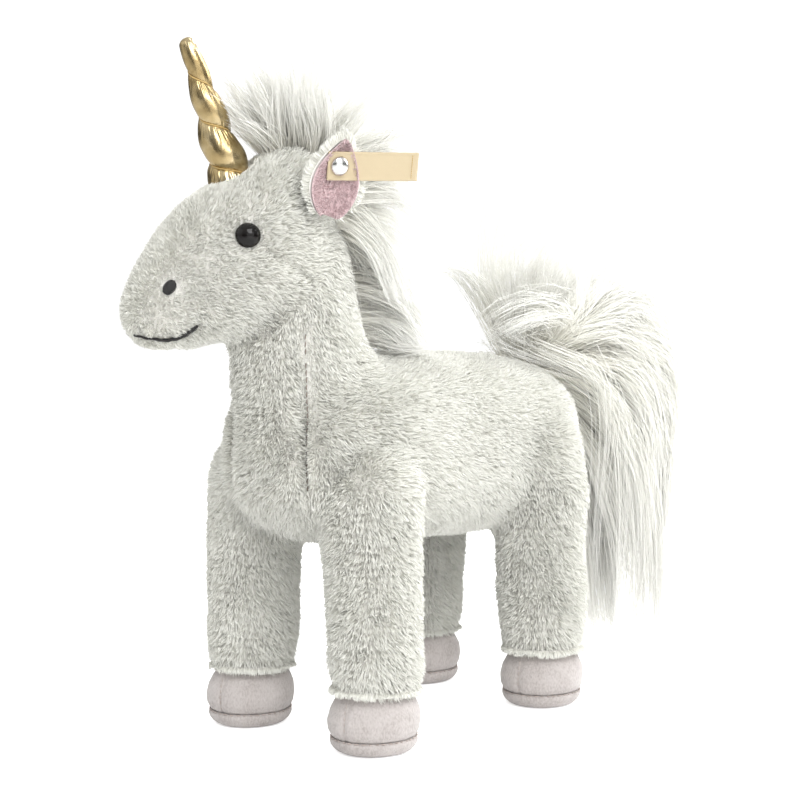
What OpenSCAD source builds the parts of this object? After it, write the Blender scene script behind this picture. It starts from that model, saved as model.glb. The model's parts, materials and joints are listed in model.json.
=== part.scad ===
// Plush unicorn standing on four hooves, facing -Y, +Z up, its left side towards +X.
// The origin is on the ground, under the middle of the whole toy.

/* [Torso] */
// Half width of the torso
torso_half_w = 43; // [38:1:46]
// Half length of the torso
torso_half_l = 82; // [78:1:84]
// Half height of the torso
torso_half_h = 36.5; // [35:0.5:38]
// Height of the torso's middle above the ground
torso_z = 106.5; // [105:0.5:108]
// Thickness of the plush fabric without its pile
fabric_t = 1.6; // [1:0.2:2]

/* [Legs] */
// Half the spacing of the legs across the body
leg_x = 32.5; // [31:0.5:34]
// Half the spacing of the legs along the body
leg_y = 50.5; // [48:0.5:52]
// Radius of a leg's plush tube
leg_r = 17; // [15:0.5:18]
// Height of the shoulder and hip centres
leg_top_z = 92; // [89:1:93]
// Height of the hem at the bottom of a leg's tube
hem_z = 22; // [21:1:24]
// Widest radius of a hoof
hoof_r = 16; // [14.5:0.5:17]
// How far a leg flexes each way, in degrees
leg_swing = 15; // [5:1:18]

/* [Neck] */
// Radius of the neck where it stands in the shoulders
neck_base_r = 25; // [23:0.5:25]
// Radius of the neck under the head
neck_top_r = 22; // [20:1:23]
// How far the neck nods each way, in degrees
neck_swing = 12; // [5:1:14]

/* [Head] */
// Angle of the head to its own right, in degrees
head_turn = 28; // [20:1:34]
// Diameter of an eye
eye_d = 9; // [8:0.5:10]

/* [Horn] */
// Length of the horn above its seam
horn_len = 56; // [52:1:60]
// Radius of the horn at its seam
horn_base_r = 8; // [7.5:0.5:8.5]
// Radius of the horn at its tip
horn_tip_r = 2.4; // [2:0.1:3]
// Turns of the thread that winds up the horn
horn_turns = 3.4; // [3:0.1:4]
// Lean of the horn towards the nose, in degrees
horn_lean = 18; // [14:1:22]

/* [Ears and ribbon tab] */
// Length of an ear
ear_len = 28; // [26:1:30]
// Half width of an ear
ear_half_w = 9; // [8:0.5:10]
// Length of the ribbon tab
tab_len = 35; // [28:1:42]
// Width of the ribbon tab
tab_w = 10; // [8:0.5:11]
// Diameter of the rivet's dome
rivet_d = 7; // [6:0.5:8]

/* [Hidden] */
// Distance from the middle of the hooves back to the middle of the whole toy
middle_y = 21;
gap = 0.4;             // clearance between parts that move against each other
fine_gap = 0.1;        // clearance between parts sewn together
facet_gap = 0.7;       // clearance of the stuffing, whose faces are broader than the fabric's
$fn = 40;

// Torso: exponents that make it plump, and where its belly gusset ends
torso_y = 5;
plump_along = 3.4;
plump_round = 2.5;
gusset_half_angle = 24;
last_ring = 89;

// Neck and head centres, measured from the middle of the hooves
neck_base = [0, -54, 122];
neck_top = [0, -64, 178];
neck_len = norm(neck_top - neck_base);
neck_lean = atan2(neck_base[1] - neck_top[1], neck_top[2] - neck_base[2]);
chest_seam_x = 18;

// Head profile along its own forward direction: top, bottom and half width
head_front = 61.5;
head_top = [[-17, 200], [-12, 214], [-4, 221], [8, 217], [18, 210.5], [28, 204.5], [36, 200], [44, 191.5], [53, 180], [58, 171.5], [61.5, 163]];
head_bottom = [[-17, 190], [-12, 172], [-4, 160], [10, 151], [22, 148], [35, 145], [44, 143.5], [52, 144.5], [57, 148], [61.5, 155]];
head_side = [[-17, 6], [-12, 20], [-4, 27], [8, 31], [20, 30], [33, 26], [44, 22.5], [53, 18.5], [58, 13.5], [61.5, 5]];
head_stations = [-17, -15, -12, -8, -4, 2, 8, 15, 22, 29, 36, 41, 46, 50, 54, 57, 59, 60.5, 61.5];
top_seam = 62;         // angles of the head's two pairs of seams above the side
chin_seam = -60;

// Face positions in the head's own frame: side, forward, up
eye_at = [28.6, 21.5, 185.5];
nostril_at = [21.4, 46.5, 167];
horn_at = [0, 19, 203];

// Ears: root, and the directions of each ear
ear_root = [28, -6, 192];
ear_yaw = 8;
ear_out = 14;
ear_back = 10;
ear_thick = 1.4;
lining_thick = 1;
rivet_up = 18.5;
tab_yaw = 102;         // the tab points back from the rivet, measured around it
tab_thick = 0.8;

// Tail
tail_root_at = [0, 79, 134];
tail_stub_r = 6;
tail_stub_len = 15;
tail_stub_lean = 50;

// ---------- shared geometry ----------

function signed_power(v, p) = sign(v) * pow(abs(v), p);
function steps(first, last, count) = [for (i = [0:count]) first + (last - first) * i / count];
function flat_list(grid) = [for (row = grid) for (p = row) p];

// Closed solid between an outer and an inner grid of points, both ordered alike
module panel(outer, inner) {
    rows = len(outer);
    cols = len(outer[0]);
    n = rows * cols;
    function at(i, j) = i * cols + j;
    faces = concat(
        [for (i = [0:rows - 2]) for (j = [0:cols - 2]) each
            [[at(i, j), at(i, j + 1), at(i + 1, j + 1)], [at(i, j), at(i + 1, j + 1), at(i + 1, j)]]],
        [for (i = [0:rows - 2]) for (j = [0:cols - 2]) each
            [[n + at(i, j), n + at(i + 1, j + 1), n + at(i, j + 1)], [n + at(i, j), n + at(i + 1, j), n + at(i + 1, j + 1)]]],
        [for (j = [0:cols - 2]) each
            [[at(0, j), n + at(0, j), n + at(0, j + 1)], [at(0, j), n + at(0, j + 1), at(0, j + 1)]]],
        [for (j = [0:cols - 2]) each
            [[at(rows - 1, j), n + at(rows - 1, j + 1), n + at(rows - 1, j)],
             [at(rows - 1, j), at(rows - 1, j + 1), n + at(rows - 1, j + 1)]]],
        [for (i = [0:rows - 2]) each
            [[at(i, 0), n + at(i + 1, 0), n + at(i, 0)], [at(i, 0), at(i + 1, 0), n + at(i + 1, 0)]]],
        [for (i = [0:rows - 2]) each
            [[at(i, cols - 1), n + at(i, cols - 1), n + at(i + 1, cols - 1)],
             [at(i, cols - 1), n + at(i + 1, cols - 1), at(i + 1, cols - 1)]]]
    );
    polyhedron(concat(flat_list(outer), flat_list(inner)), faces);
}

// Closed solid through a list of rings, with a fan of triangles on each end
module ring_solid(rings) {
    rows = len(rings);
    cols = len(rings[0]);
    function at(i, j) = i * cols + j % cols;
    faces = concat(
        [for (i = [0:rows - 2]) for (j = [0:cols - 1]) each
            [[at(i, j), at(i, j + 1), at(i + 1, j + 1)], [at(i, j), at(i + 1, j + 1), at(i + 1, j)]]],
        [for (j = [1:cols - 2]) [at(0, 0), at(0, j + 1), at(0, j)]],
        [for (j = [1:cols - 2]) [at(rows - 1, 0), at(rows - 1, j), at(rows - 1, j + 1)]]
    );
    polyhedron(flat_list(rings), faces);
}

module whole_frame() {
    translate([0, -middle_y, 0]) children();
}

// The space a ball-topped limb sweeps when it swings about the X axis
module swing_space(ball_r, tube_r, len, swing) {
    sphere(r = ball_r);
    hull() for (a = [-swing, swing]) rotate([a, 0, 0]) mirror([0, 0, 1]) cylinder(h = len, r = tube_r);
}

// ---------- torso ----------

function torso_point(along, around, inset) =
    let (s = pow(cos(along), 2 / plump_along))
    [(torso_half_w - inset) * s * signed_power(cos(around), 2 / plump_round),
     torso_y + (torso_half_l - inset) * signed_power(sin(along), 2 / plump_along),
     torso_z + (torso_half_h - inset) * s * signed_power(sin(around), 2 / plump_round)];

module torso_skin(first, last, count) {
    function grid(inset) =
        [for (a = steps(-last_ring, last_ring, 16)) [for (b = steps(first, last, count)) torso_point(a, b, inset)]];
    panel(grid(0), grid(fabric_t));
}

module limb_spaces() {
    for (side = [-1, 1]) for (end = [-1, 1])
        translate([side * leg_x, end * leg_y, leg_top_z]) swing_space(leg_r + gap + 1, leg_r + gap, 60, leg_swing + 1);
    translate(neck_base) rotate([180 + neck_lean, 0, 0]) swing_space(neck_base_r + gap, neck_base_r + gap, 60, neck_swing + 1);
    translate(tail_root_at) sphere(r = tail_stub_r + gap);
}

module torso_panel_left() {
    color("ivory") whole_frame() difference() {
        torso_skin(-90 + gusset_half_angle, 90 - 0.2, 10);
        limb_spaces();
    }
}

module torso_panel_right() {
    color("ivory") whole_frame() difference() {
        torso_skin(90 + 0.2, 270 - gusset_half_angle, 10);
        limb_spaces();
    }
}

module belly_gusset() {
    color("ivory") whole_frame() difference() {
        torso_skin(-90 - gusset_half_angle + 0.3, -90 + gusset_half_angle - 0.3, 4);
        limb_spaces();
    }
}

module torso_stuffing() {
    color("white") whole_frame() difference() {
        ring_solid([for (a = steps(-last_ring, last_ring, 12))
            [for (b = [0:20:340]) torso_point(a, b, fabric_t + facet_gap)]]);
        limb_spaces();
    }
}

// ---------- neck ----------

module neck_frame() {
    whole_frame() translate(neck_base) rotate([neck_lean, 0, 0]) children();
}

module neck_form(inset) {
    sphere(r = neck_base_r - inset);
    cylinder(h = neck_len, r1 = neck_base_r - inset, r2 = neck_top_r - inset);
    translate([0, 0, neck_len]) sphere(r = neck_top_r - inset);
}

// side: 1 left, -1 right, 0 the front gusset between the two chest seams
module neck_shell(side) {
    reach = 2 * neck_base_r;
    tall = 3 * neck_len;
    difference() {
        intersection() {
            difference() {
                neck_form(0);
                neck_form(fabric_t);
            }
            if (side == 0)
                translate([-chest_seam_x + fine_gap, -reach, -tall / 2]) cube([2 * (chest_seam_x - fine_gap), reach, tall]);
            else
                translate([side * (reach / 2 + fine_gap), 0, 0]) cube([reach, 2 * reach, 2 * tall], center = true);
        }
        if (side != 0)
            translate([-chest_seam_x, -reach, -tall / 2]) cube([2 * chest_seam_x, reach, tall]);
    }
}

module neck_panel_left() {
    color("ivory") neck_frame() neck_shell(1);
}

module neck_panel_right() {
    color("ivory") neck_frame() neck_shell(-1);
}

module neck_gusset() {
    color("ivory") neck_frame() neck_shell(0);
}

module neck_stuffing() {
    color("white") neck_frame() neck_form(fabric_t + fine_gap);
}

module neck_mane() {
    color("cornsilk") neck_frame() difference() {
        ring_solid([for (t = steps(0, 1, 10))
            let (up = 25 + 45 * t, bulge = sin(20 + 140 * t), back = 19 + 9 * bulge)
            [for (a = [0:30:330]) [9 * bulge * cos(a), back + (4 + 16 * bulge) * sin(a), up]]]);
        neck_form(-fine_gap);
        // the head turns in front of the mane
        translate([0, 0, neck_len]) rotate([-neck_lean, 0, 0]) translate([0, 0, -20]) cylinder(h = 70, r = neck_top_r + 4.5);
    }
}

// ---------- head ----------

module head_frame() {
    whole_frame() translate([neck_top[0], neck_top[1], 0]) rotate([0, 0, -head_turn]) children();
}

function head_point(forward, around, inset) =
    let (top = lookup(forward, head_top) - inset, bottom = lookup(forward, head_bottom) + inset)
    [(lookup(forward, head_side) - inset) * signed_power(cos(around), 0.9),
     -(forward - inset * forward / head_front),
     (top + bottom) / 2 + (top - bottom) / 2 * signed_power(sin(around), 0.9)];

module head_skin(first, last, count) {
    function grid(inset) = [for (f = head_stations) [for (b = steps(last, first, count)) head_point(f, b, inset)]];
    panel(grid(0), grid(fabric_t));
}

// What the head leaves free: the neck's round top, and the horn's round foot
module head_spaces() {
    translate([0, 0, neck_top[2]]) {
        sphere(r = neck_top_r + gap);
        translate([0, 0, 3]) mirror([0, 0, 1]) cylinder(h = 63, r1 = neck_top_r + gap + 0.5, r2 = neck_top_r + 22);
    }
    horn_frame() {
        sphere(r = horn_base_r + 2 * gap + 0.3);
        cylinder(h = 25, r1 = horn_base_r * 1.1 + gap + 0.3, r2 = horn_base_r * 1.1 + 9);
    }
}

module head_panel_left() {
    color("ivory") head_frame() difference() {
        head_skin(chin_seam + 0.3, top_seam - 0.3, 7);
        head_spaces();
        eye_place() cylinder(h = 12, r = 1.6, center = true);
    }
}

module head_panel_right() {
    color("ivory") mirror_head() difference() {
        head_skin(chin_seam + 0.3, top_seam - 0.3, 7);
        head_spaces();
        eye_place() cylinder(h = 12, r = 1.6, center = true);
    }
}

module mirror_head() {
    head_frame() mirror([1, 0, 0]) children();
}

module head_gusset() {
    color("ivory") head_frame() difference() {
        head_skin(top_seam, 180 - top_seam, 4);
        head_spaces();
    }
}

module chin_gusset() {
    color("ivory") head_frame() difference() {
        head_skin(180 - chin_seam, 360 + chin_seam, 4);
        head_spaces();
    }
}

module head_solid(inset, step) {
    ring_solid([for (f = head_stations) [for (b = [360 - step:-step:0]) head_point(f, b, inset)]]);
}

module head_stuffing() {
    color("white") head_frame() difference() {
        head_solid(fabric_t + facet_gap, 20);
        head_spaces();
        for (side = [0, 1]) mirror([side, 0, 0]) eye_place() translate([0, 0, -14]) cylinder(h = 20, r = 7);
    }
}

module forelock() {
    color("cornsilk") head_frame() difference() {
        ring_solid([for (t = steps(0, 1, 12))
            let (bulge = sin(30 + 140 * t))
            [for (a = [0:30:330])
                [12 * bulge * cos(a), 1 + 30 * t * t + (7 + 9 * t) * bulge * sin(a), 213 + 43 * t]]]);
        head_solid(-fine_gap, 10);
    }
}

// ---------- face ----------

module eye_place() {
    translate([eye_at[0], -eye_at[1], eye_at[2]]) rotate([0, 78, -12]) children();
}

module eye() {
    intersection() {
        translate([0, 0, 0.5 - eye_d * 0.12]) sphere(d = eye_d * 1.06);
        translate([0, 0, 0.3]) cylinder(h = eye_d, r = eye_d / 2);
    }
    translate([0, 0, -9]) cylinder(h = 9.6, r = 1.5);
}

module eye_washer() {
    translate([0, 0, -6]) rotate_extrude() translate([1.6, 0]) square([4.2, 1.2]);
}

module eye_left() {
    color("black") head_frame() eye_place() eye();
}

module eye_right() {
    color("black") mirror_head() eye_place() eye();
}

module eye_washer_left() {
    color("white") head_frame() eye_place() eye_washer();
}

module eye_washer_right() {
    color("white") mirror_head() eye_place() eye_washer();
}

module nostril_stitches() {
    color("black") for (side = [0, 1]) head_frame() mirror([side, 0, 0])
        translate([nostril_at[0] + 0.6, -nostril_at[1], nostril_at[2]]) rotate([0, 90, -24])
            linear_extrude(height = 0.8) scale([0.8, 1]) circle(r = 2.6);
}

// The smile follows the muzzle's surface a little above the chin
module mouth_stitches() {
    stations = [37, 41, 45, 49, 52, 55];
    function at(f, side) = let (p = head_point(f, side > 0 ? -34 - (f - 37) * 0.7 : 214 + (f - 37) * 0.7, -1.0)) p;
    color("black") head_frame() for (side = [-1, 1]) for (i = [0:len(stations) - 2])
        stitch(at(stations[i], side), at(stations[i + 1], side), 0.45);
}

module stitch(from, to, r) {
    d = to - from;
    translate(from) rotate([0, acos(d[2] / norm(d)), atan2(d[1], d[0])]) cylinder(h = norm(d) * 0.86, r = r, $fn = 16);
}

// ---------- horn ----------

module horn_frame() {
    translate([horn_at[0], -horn_at[1], horn_at[2]]) rotate([horn_lean, 0, 0]) children();
}

function horn_radius(t) = horn_base_r + (horn_tip_r - horn_base_r) * t;

// Four bulges between the turns of the thread; the ends stay round
horn_phase = 0.614;
function horn_groove(t, around) = abs(sin(180 * (t * horn_turns + horn_phase + around / 360)));
function horn_point(t, around) =
    let (round_tip = sqrt(1 - pow(max(0, (t - 0.94) / 0.0625), 2)),
         r = (horn_radius(t) * (0.74 + 0.34 * pow(horn_groove(t, around), 0.7))) * round_tip)
    [r * cos(around), r * sin(around), t * horn_len];

// The foot is a ball that turns in the head's socket; the bulges start above it
horn_foot_r = horn_base_r * 0.72;
function horn_rings() = concat(
    [for (tilt = steps(-64, -6, 5)) [for (a = [0:24:336]) horn_foot_r * [cos(tilt) * cos(a), cos(tilt) * sin(a), sin(tilt)]]],
    [for (t = steps(0.005, 1, 30)) [for (a = [0:24:336]) horn_point(t, a)]]);

module horn_cover() {
    mouth_r = horn_base_r * 0.3;
    color("gold") head_frame() horn_frame() difference() {
        ring_solid(horn_rings());
        rotate_extrude() polygon([[0, -horn_base_r], [mouth_r, -horn_base_r], [mouth_r, 0.4], [horn_base_r * 0.6, 0.4],
            [horn_tip_r * 0.5, horn_len * 0.93], [0, horn_len * 0.93]]);
    }
}

module horn_stuffing() {
    color("white") head_frame() horn_frame()
        translate([0, 0, 0.5]) cylinder(h = horn_len * 0.92, r1 = horn_base_r * 0.59, r2 = horn_tip_r * 0.45);
}

// The thread lies in the groove between the bulges
module horn_thread() {
    thread_r = 0.35;
    function wound(t) =
        let (a = -360 * (t * horn_turns + horn_phase), r = horn_radius(t) * 0.74 + thread_r + 0.06)
        [r * cos(a), r * sin(a), t * horn_len];
    color("goldenrod") head_frame() horn_frame()
        ring_solid([for (t = steps(0.05, 0.93, 70))
            let (p = wound(t), a = -360 * (t * horn_turns + horn_phase))
            [for (b = [0:60:300]) p + thread_r * (cos(b) * [cos(a), sin(a), 0] + sin(b) * [0, 0, 1])]]);
}

// ---------- ears, rivet and ribbon tab ----------

module ear_frame() {
    head_frame() translate([ear_root[0], -ear_root[1], ear_root[2]])
        rotate([0, 0, ear_yaw]) rotate([0, ear_out, 0]) rotate([-ear_back, 0, 0]) children();
}

module ear_frame_right() {
    head_frame() mirror([1, 0, 0]) translate([ear_root[0], -ear_root[1], ear_root[2]])
        rotate([0, 0, ear_yaw]) rotate([0, ear_out, 0]) rotate([-ear_back, 0, 0]) children();
}

// An ear stands up along Z and is flat in X; its outline narrows to the root and to the tip
module ear_plate(from_x, thick) {
    outline = concat(
        [for (t = steps(0, 1, 12)) [ear_half_w * (0.3 + 0.7 * sin(180 * pow(t, 0.8))) * sqrt(1 - pow(t, 6)), ear_len * t]],
        [for (t = steps(0.98, 0, 12)) [-ear_half_w * (0.3 + 0.7 * sin(180 * pow(t, 0.8))) * sqrt(1 - pow(t, 6)), ear_len * t]]);
    difference() {
        translate([from_x, 0, 1]) rotate([90, 0, 90]) linear_extrude(height = thick) polygon(outline);
        translate([from_x - 1, 0, rivet_up]) rotate([0, 90, 0]) cylinder(h = thick + 2, r = 1.1);
    }
}

module ear_left_outer() {
    color("ivory") ear_frame() ear_plate(-ear_thick, ear_thick);
}

module ear_left_lining() {
    color("rosybrown") ear_frame() ear_plate(fine_gap, lining_thick);
}

module ear_right_outer() {
    color("ivory") ear_frame_right() ear_plate(-ear_thick, ear_thick);
}

module ear_right_lining() {
    color("rosybrown") ear_frame_right() ear_plate(fine_gap, lining_thick);
}

module rivet_place() {
    translate([0, 0, rivet_up]) rotate([0, 90, 0]) children();
}

module ear_rivet() {
    lining_face = fine_gap + lining_thick;
    color("silver") ear_frame() rivet_place() {
        translate([0, 0, lining_face + tab_thick + 2 * fine_gap]) intersection() {
            cylinder(h = 2, r = rivet_d / 2);
            translate([0, 0, -3.6]) sphere(r = 5);
        }
        translate([0, 0, -ear_thick - 0.6]) cylinder(h = ear_thick + lining_face + tab_thick + 1, r = 1);
    }
}

module ear_rivet_washer() {
    color("silver") ear_frame() rivet_place()
        translate([0, 0, -ear_thick - 0.7]) rotate_extrude() translate([1.05, 0]) square([2.2, 0.6]);
}

module ribbon_tab() {
    color("wheat") ear_frame() rivet_place()
        translate([0, 0, 2 * fine_gap + lining_thick]) rotate([0, 0, tab_yaw]) difference() {
            translate([-tab_w * 0.45, -tab_w / 2, 0]) cube([tab_len, tab_w, tab_thick]);
            translate([0, 0, -1]) cylinder(h = 3, r = 1.1);
        }
}

// ---------- legs ----------

module leg_frame(side, end) {
    whole_frame() translate([side * leg_x, end * leg_y, 0]) children();
}

module leg_cover(side, end) {
    color("ivory") leg_frame(side, end) difference() {
        union() {
            translate([0, 0, leg_top_z]) sphere(r = leg_r + 0.6);
            translate([0, 0, hem_z]) cylinder(h = leg_top_z - hem_z, r = leg_r);
        }
        translate([0, 0, leg_top_z]) sphere(r = leg_r - fabric_t);
        translate([0, 0, hem_z - 1]) cylinder(h = leg_top_z - hem_z + 1, r = leg_r - fabric_t);
    }
}

module leg_stuffing(side, end) {
    r = leg_r - fabric_t - fine_gap;
    color("white") leg_frame(side, end) {
        translate([0, 0, leg_top_z]) sphere(r = r);
        translate([0, 0, hem_z + 4]) cylinder(h = leg_top_z - hem_z - 4, r = r);
    }
}

// Outline of a hoof from its sole seam up to where it enters the leg's hem
function hoof_outline(inset) = concat(
    [[0, 4.4 + inset]],
    [[hoof_r - 1.2 - inset, 4.4 + inset]],
    [for (a = steps(-25, 62, 8)) [hoof_r - 9 + (9 - inset) * cos(a), 9.2 + (9 - inset) * sin(a)]],
    [[leg_r - 5.6 - inset, hem_z + 3 - inset], [0, hem_z + 3 - inset]]);

module hoof(side, end) {
    color("mistyrose") leg_frame(side, end) rotate_extrude() difference() {
        polygon(hoof_outline(0));
        polygon(hoof_outline(1.2));
    }
}

module beans(side, end) {
    color("tan") leg_frame(side, end) rotate_extrude() polygon(hoof_outline(1.3));
}

module sole(side, end) {
    color("mistyrose") leg_frame(side, end) rotate_extrude()
        polygon(concat([[0, 0], [hoof_r - 5, 0]],
            [for (a = steps(-80, -8, 6)) [hoof_r - 5 + 4.4 * cos(a), 4.4 + 4.4 * sin(a)]],
            [[hoof_r - 1, 4.3], [0, 4.3]]));
}

module front_left_leg() { leg_cover(1, -1); }
module front_left_leg_stuffing() { leg_stuffing(1, -1); }
module front_left_hoof() { hoof(1, -1); }
module front_left_sole() { sole(1, -1); }
module front_left_beans() { beans(1, -1); }
module front_right_leg() { leg_cover(-1, -1); }
module front_right_leg_stuffing() { leg_stuffing(-1, -1); }
module front_right_hoof() { hoof(-1, -1); }
module front_right_sole() { sole(-1, -1); }
module front_right_beans() { beans(-1, -1); }
module hind_left_leg() { leg_cover(1, 1); }
module hind_left_leg_stuffing() { leg_stuffing(1, 1); }
module hind_left_hoof() { hoof(1, 1); }
module hind_left_sole() { sole(1, 1); }
module hind_left_beans() { beans(1, 1); }
module hind_right_leg() { leg_cover(-1, 1); }
module hind_right_leg_stuffing() { leg_stuffing(-1, 1); }
module hind_right_hoof() { hoof(-1, 1); }
module hind_right_sole() { sole(-1, 1); }
module hind_right_beans() { beans(-1, 1); }

// ---------- tail ----------

module tail_root() {
    color("ivory") whole_frame() translate(tail_root_at) {
        sphere(r = tail_stub_r);
        rotate([-tail_stub_lean, 0, 0]) {
            cylinder(h = tail_stub_len, r = tail_stub_r - 0.6);
            translate([0, 0, tail_stub_len]) sphere(r = tail_stub_r);
        }
    }
}

// The plume leaves the stub's round end, arches back and falls to just above the ground
stub_end = tail_root_at + tail_stub_len * [0, sin(tail_stub_lean), cos(tail_stub_lean)];
function plume_middle(t) = stub_end + [0, 60 * sin(95 * t), 30 * t - 150 * t * t];
function plume_size(t) = [9 + 21 * sin(155 * pow(t, 0.8)) - 8 * t, 9 + 17 * sin(172 * pow(t, 0.75)) - 6 * t];

module tail_pile() {
    color("cornsilk") whole_frame() difference() {
        ring_solid([for (t = steps(0, 1, 14))
            let (m = plume_middle(t), ahead = plume_middle(t + 0.01) - m, lean = atan2(-ahead[2], ahead[1]), s = plume_size(t))
            [for (a = [0:30:330]) m + [s[0] * cos(a), s[1] * sin(a) * sin(lean), s[1] * sin(a) * cos(lean)]]]);
        translate(stub_end) {
            sphere(r = tail_stub_r + gap);
            rotate([180 - tail_stub_lean, 0, 0]) cylinder(h = 20, r1 = tail_stub_r + gap, r2 = tail_stub_r + 12);
        }
    }
}

torso_panel_left();
torso_panel_right();
belly_gusset();
torso_stuffing();
neck_panel_left();
neck_panel_right();
neck_gusset();
neck_stuffing();
neck_mane();
head_panel_left();
head_panel_right();
head_gusset();
chin_gusset();
head_stuffing();
forelock();
eye_left();
eye_right();
eye_washer_left();
eye_washer_right();
nostril_stitches();
mouth_stitches();
horn_cover();
horn_stuffing();
horn_thread();
ear_left_outer();
ear_left_lining();
ear_right_outer();
ear_right_lining();
ear_rivet();
ear_rivet_washer();
ribbon_tab();
front_left_leg();
front_left_leg_stuffing();
front_left_hoof();
front_left_sole();
front_left_beans();
front_right_leg();
front_right_leg_stuffing();
front_right_hoof();
front_right_sole();
front_right_beans();
hind_left_leg();
hind_left_leg_stuffing();
hind_left_hoof();
hind_left_sole();
hind_left_beans();
hind_right_leg();
hind_right_leg_stuffing();
hind_right_hoof();
hind_right_sole();
hind_right_beans();
tail_root();
tail_pile();
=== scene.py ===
"""Looks of the plush unicorn: short-pile skins, long hair, foil horn, velour hooves and the small trim.

Lengths are in millimetres until MM turns them into metres. The toy faces -Y and its left side is +X.
"""
import json
import math

import bpy
import numpy as np
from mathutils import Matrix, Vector
from mathutils.bvhtree import BVHTree


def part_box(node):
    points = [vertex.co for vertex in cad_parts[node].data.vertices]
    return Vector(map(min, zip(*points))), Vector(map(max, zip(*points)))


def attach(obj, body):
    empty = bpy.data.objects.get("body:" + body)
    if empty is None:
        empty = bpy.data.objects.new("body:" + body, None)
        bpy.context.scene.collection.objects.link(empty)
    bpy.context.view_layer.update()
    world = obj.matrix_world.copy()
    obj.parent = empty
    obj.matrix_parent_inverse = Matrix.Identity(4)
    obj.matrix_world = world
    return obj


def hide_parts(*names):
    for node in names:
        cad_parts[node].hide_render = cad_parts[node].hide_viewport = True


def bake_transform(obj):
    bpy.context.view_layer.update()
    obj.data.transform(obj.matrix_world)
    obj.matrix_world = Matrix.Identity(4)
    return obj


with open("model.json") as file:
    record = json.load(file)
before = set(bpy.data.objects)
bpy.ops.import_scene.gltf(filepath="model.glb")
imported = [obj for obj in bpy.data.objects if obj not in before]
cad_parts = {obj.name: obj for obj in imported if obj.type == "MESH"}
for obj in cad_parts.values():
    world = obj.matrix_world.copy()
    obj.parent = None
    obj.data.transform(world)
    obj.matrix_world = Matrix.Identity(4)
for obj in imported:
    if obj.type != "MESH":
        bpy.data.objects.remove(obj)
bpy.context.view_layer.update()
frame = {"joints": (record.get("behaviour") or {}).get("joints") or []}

MM = 0.001
JOINTS = {j["name"]: j for j in frame["joints"]}


def joint_at(name):
    """A joint's place in millimetres."""
    return np.array(JOINTS[name]["pos_m"], float) / MM


def joint_axis(name):
    axis = np.array(JOINTS[name]["axis"], float)
    return axis / np.linalg.norm(axis)


def box_mm(node):
    low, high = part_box(node)
    return np.array(low) / MM, np.array(high) / MM


# ---------------------------------------------------------------- the driving places, from the frame
SCENE = bpy.context.scene
UP = np.array([0, 0, 1.0])
NECK_BASE = joint_at("neck_nod")
NECK_TOP = joint_at("head_turn")
NECK_LEN = float(np.linalg.norm(NECK_TOP - NECK_BASE))
NECK_AXIS = (NECK_TOP - NECK_BASE) / NECK_LEN
HEAD_LEFT = joint_axis("horn_bend")
HEAD_FORWARD = np.cross(HEAD_LEFT, UP)
HORN_FOOT = joint_at("horn_bend")
TAIL_ROOT = joint_at("tail_lift")
TAIL_END = joint_at("tail_swing")
LEGS = {name[:-5]: joint_at(name) for name in JOINTS if name.endswith("_flex")}
HOOVES = np.mean(list(LEGS.values()), axis=0) * [1, 1, 0]      # the middle of the four hooves, on the ground
EAR_ROOT = joint_at("ear_left_fold")
EAR_OUT = joint_axis("ribbon_swivel")
RIVET = joint_at("ribbon_swivel")
EAR_UP = (RIVET - EAR_ROOT) - ((RIVET - EAR_ROOT) @ EAR_OUT) * EAR_OUT
EAR_UP = EAR_UP / np.linalg.norm(EAR_UP)
EAR_ACROSS = np.cross(EAR_UP, EAR_OUT)
HEAD_CENTRE = NECK_TOP * [1, 1, 0]      # under the head's turning axis, on the ground
LEG_R = 17.0
HEM_Z = float(box_mm("front_left_leg")[0][2])
PILE = 3.7            # length of the short plush pile
SKIN_INSET = 2.3      # the skin lies this far inside the CAD form, so that the pile fills it


def head_place(side, forward, up):
    """A point given across, along and up the turned head."""
    return HEAD_CENTRE + side * HEAD_LEFT + forward * HEAD_FORWARD + up * UP


def head_reach(p):
    """How far points are in front of the head's axis, and how far to its left."""
    rel = p - HEAD_CENTRE
    return rel @ HEAD_FORWARD, rel @ HEAD_LEFT


def mirrored(v, is_point=True):
    """A point or direction reflected in the head's middle plane."""
    rel = v - NECK_TOP if is_point else v
    return v - 2 * np.multiply.outer(rel @ HEAD_LEFT, HEAD_LEFT)


# ---------------------------------------------------------------- small helpers
def unit(v):
    v = np.asarray(v, float)
    return v / np.maximum(np.linalg.norm(v, axis=-1, keepdims=True), 1e-9)


def row_dot(a, b):
    return np.sum(a * b, axis=1, keepdims=True)


def circle(across, other, count):
    """Points of the unit circle in the plane of two directions."""
    a = np.linspace(0, 2 * np.pi, count, endpoint=False)
    return np.cos(a)[:, None] * across + np.sin(a)[:, None] * other


def mesh_object(name, verts_mm, faces):
    """A mesh from points in millimetres and faces that all have the same number of corners."""
    verts = np.asarray(verts_mm, np.float32) * MM
    faces = np.asarray(faces, np.int32)
    me = bpy.data.meshes.new(name)
    me.vertices.add(len(verts))
    me.vertices.foreach_set("co", verts.ravel())
    me.loops.add(faces.size)
    me.loops.foreach_set("vertex_index", faces.ravel())
    me.polygons.add(len(faces))
    me.polygons.foreach_set("loop_start", np.arange(0, faces.size, faces.shape[1], dtype=np.int32))
    me.update(calc_edges=True)
    me.validate()
    me.polygons.foreach_set("use_smooth", np.ones(len(me.polygons), bool))
    ob = bpy.data.objects.new(name, me)
    SCENE.collection.objects.link(ob)
    return ob


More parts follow.
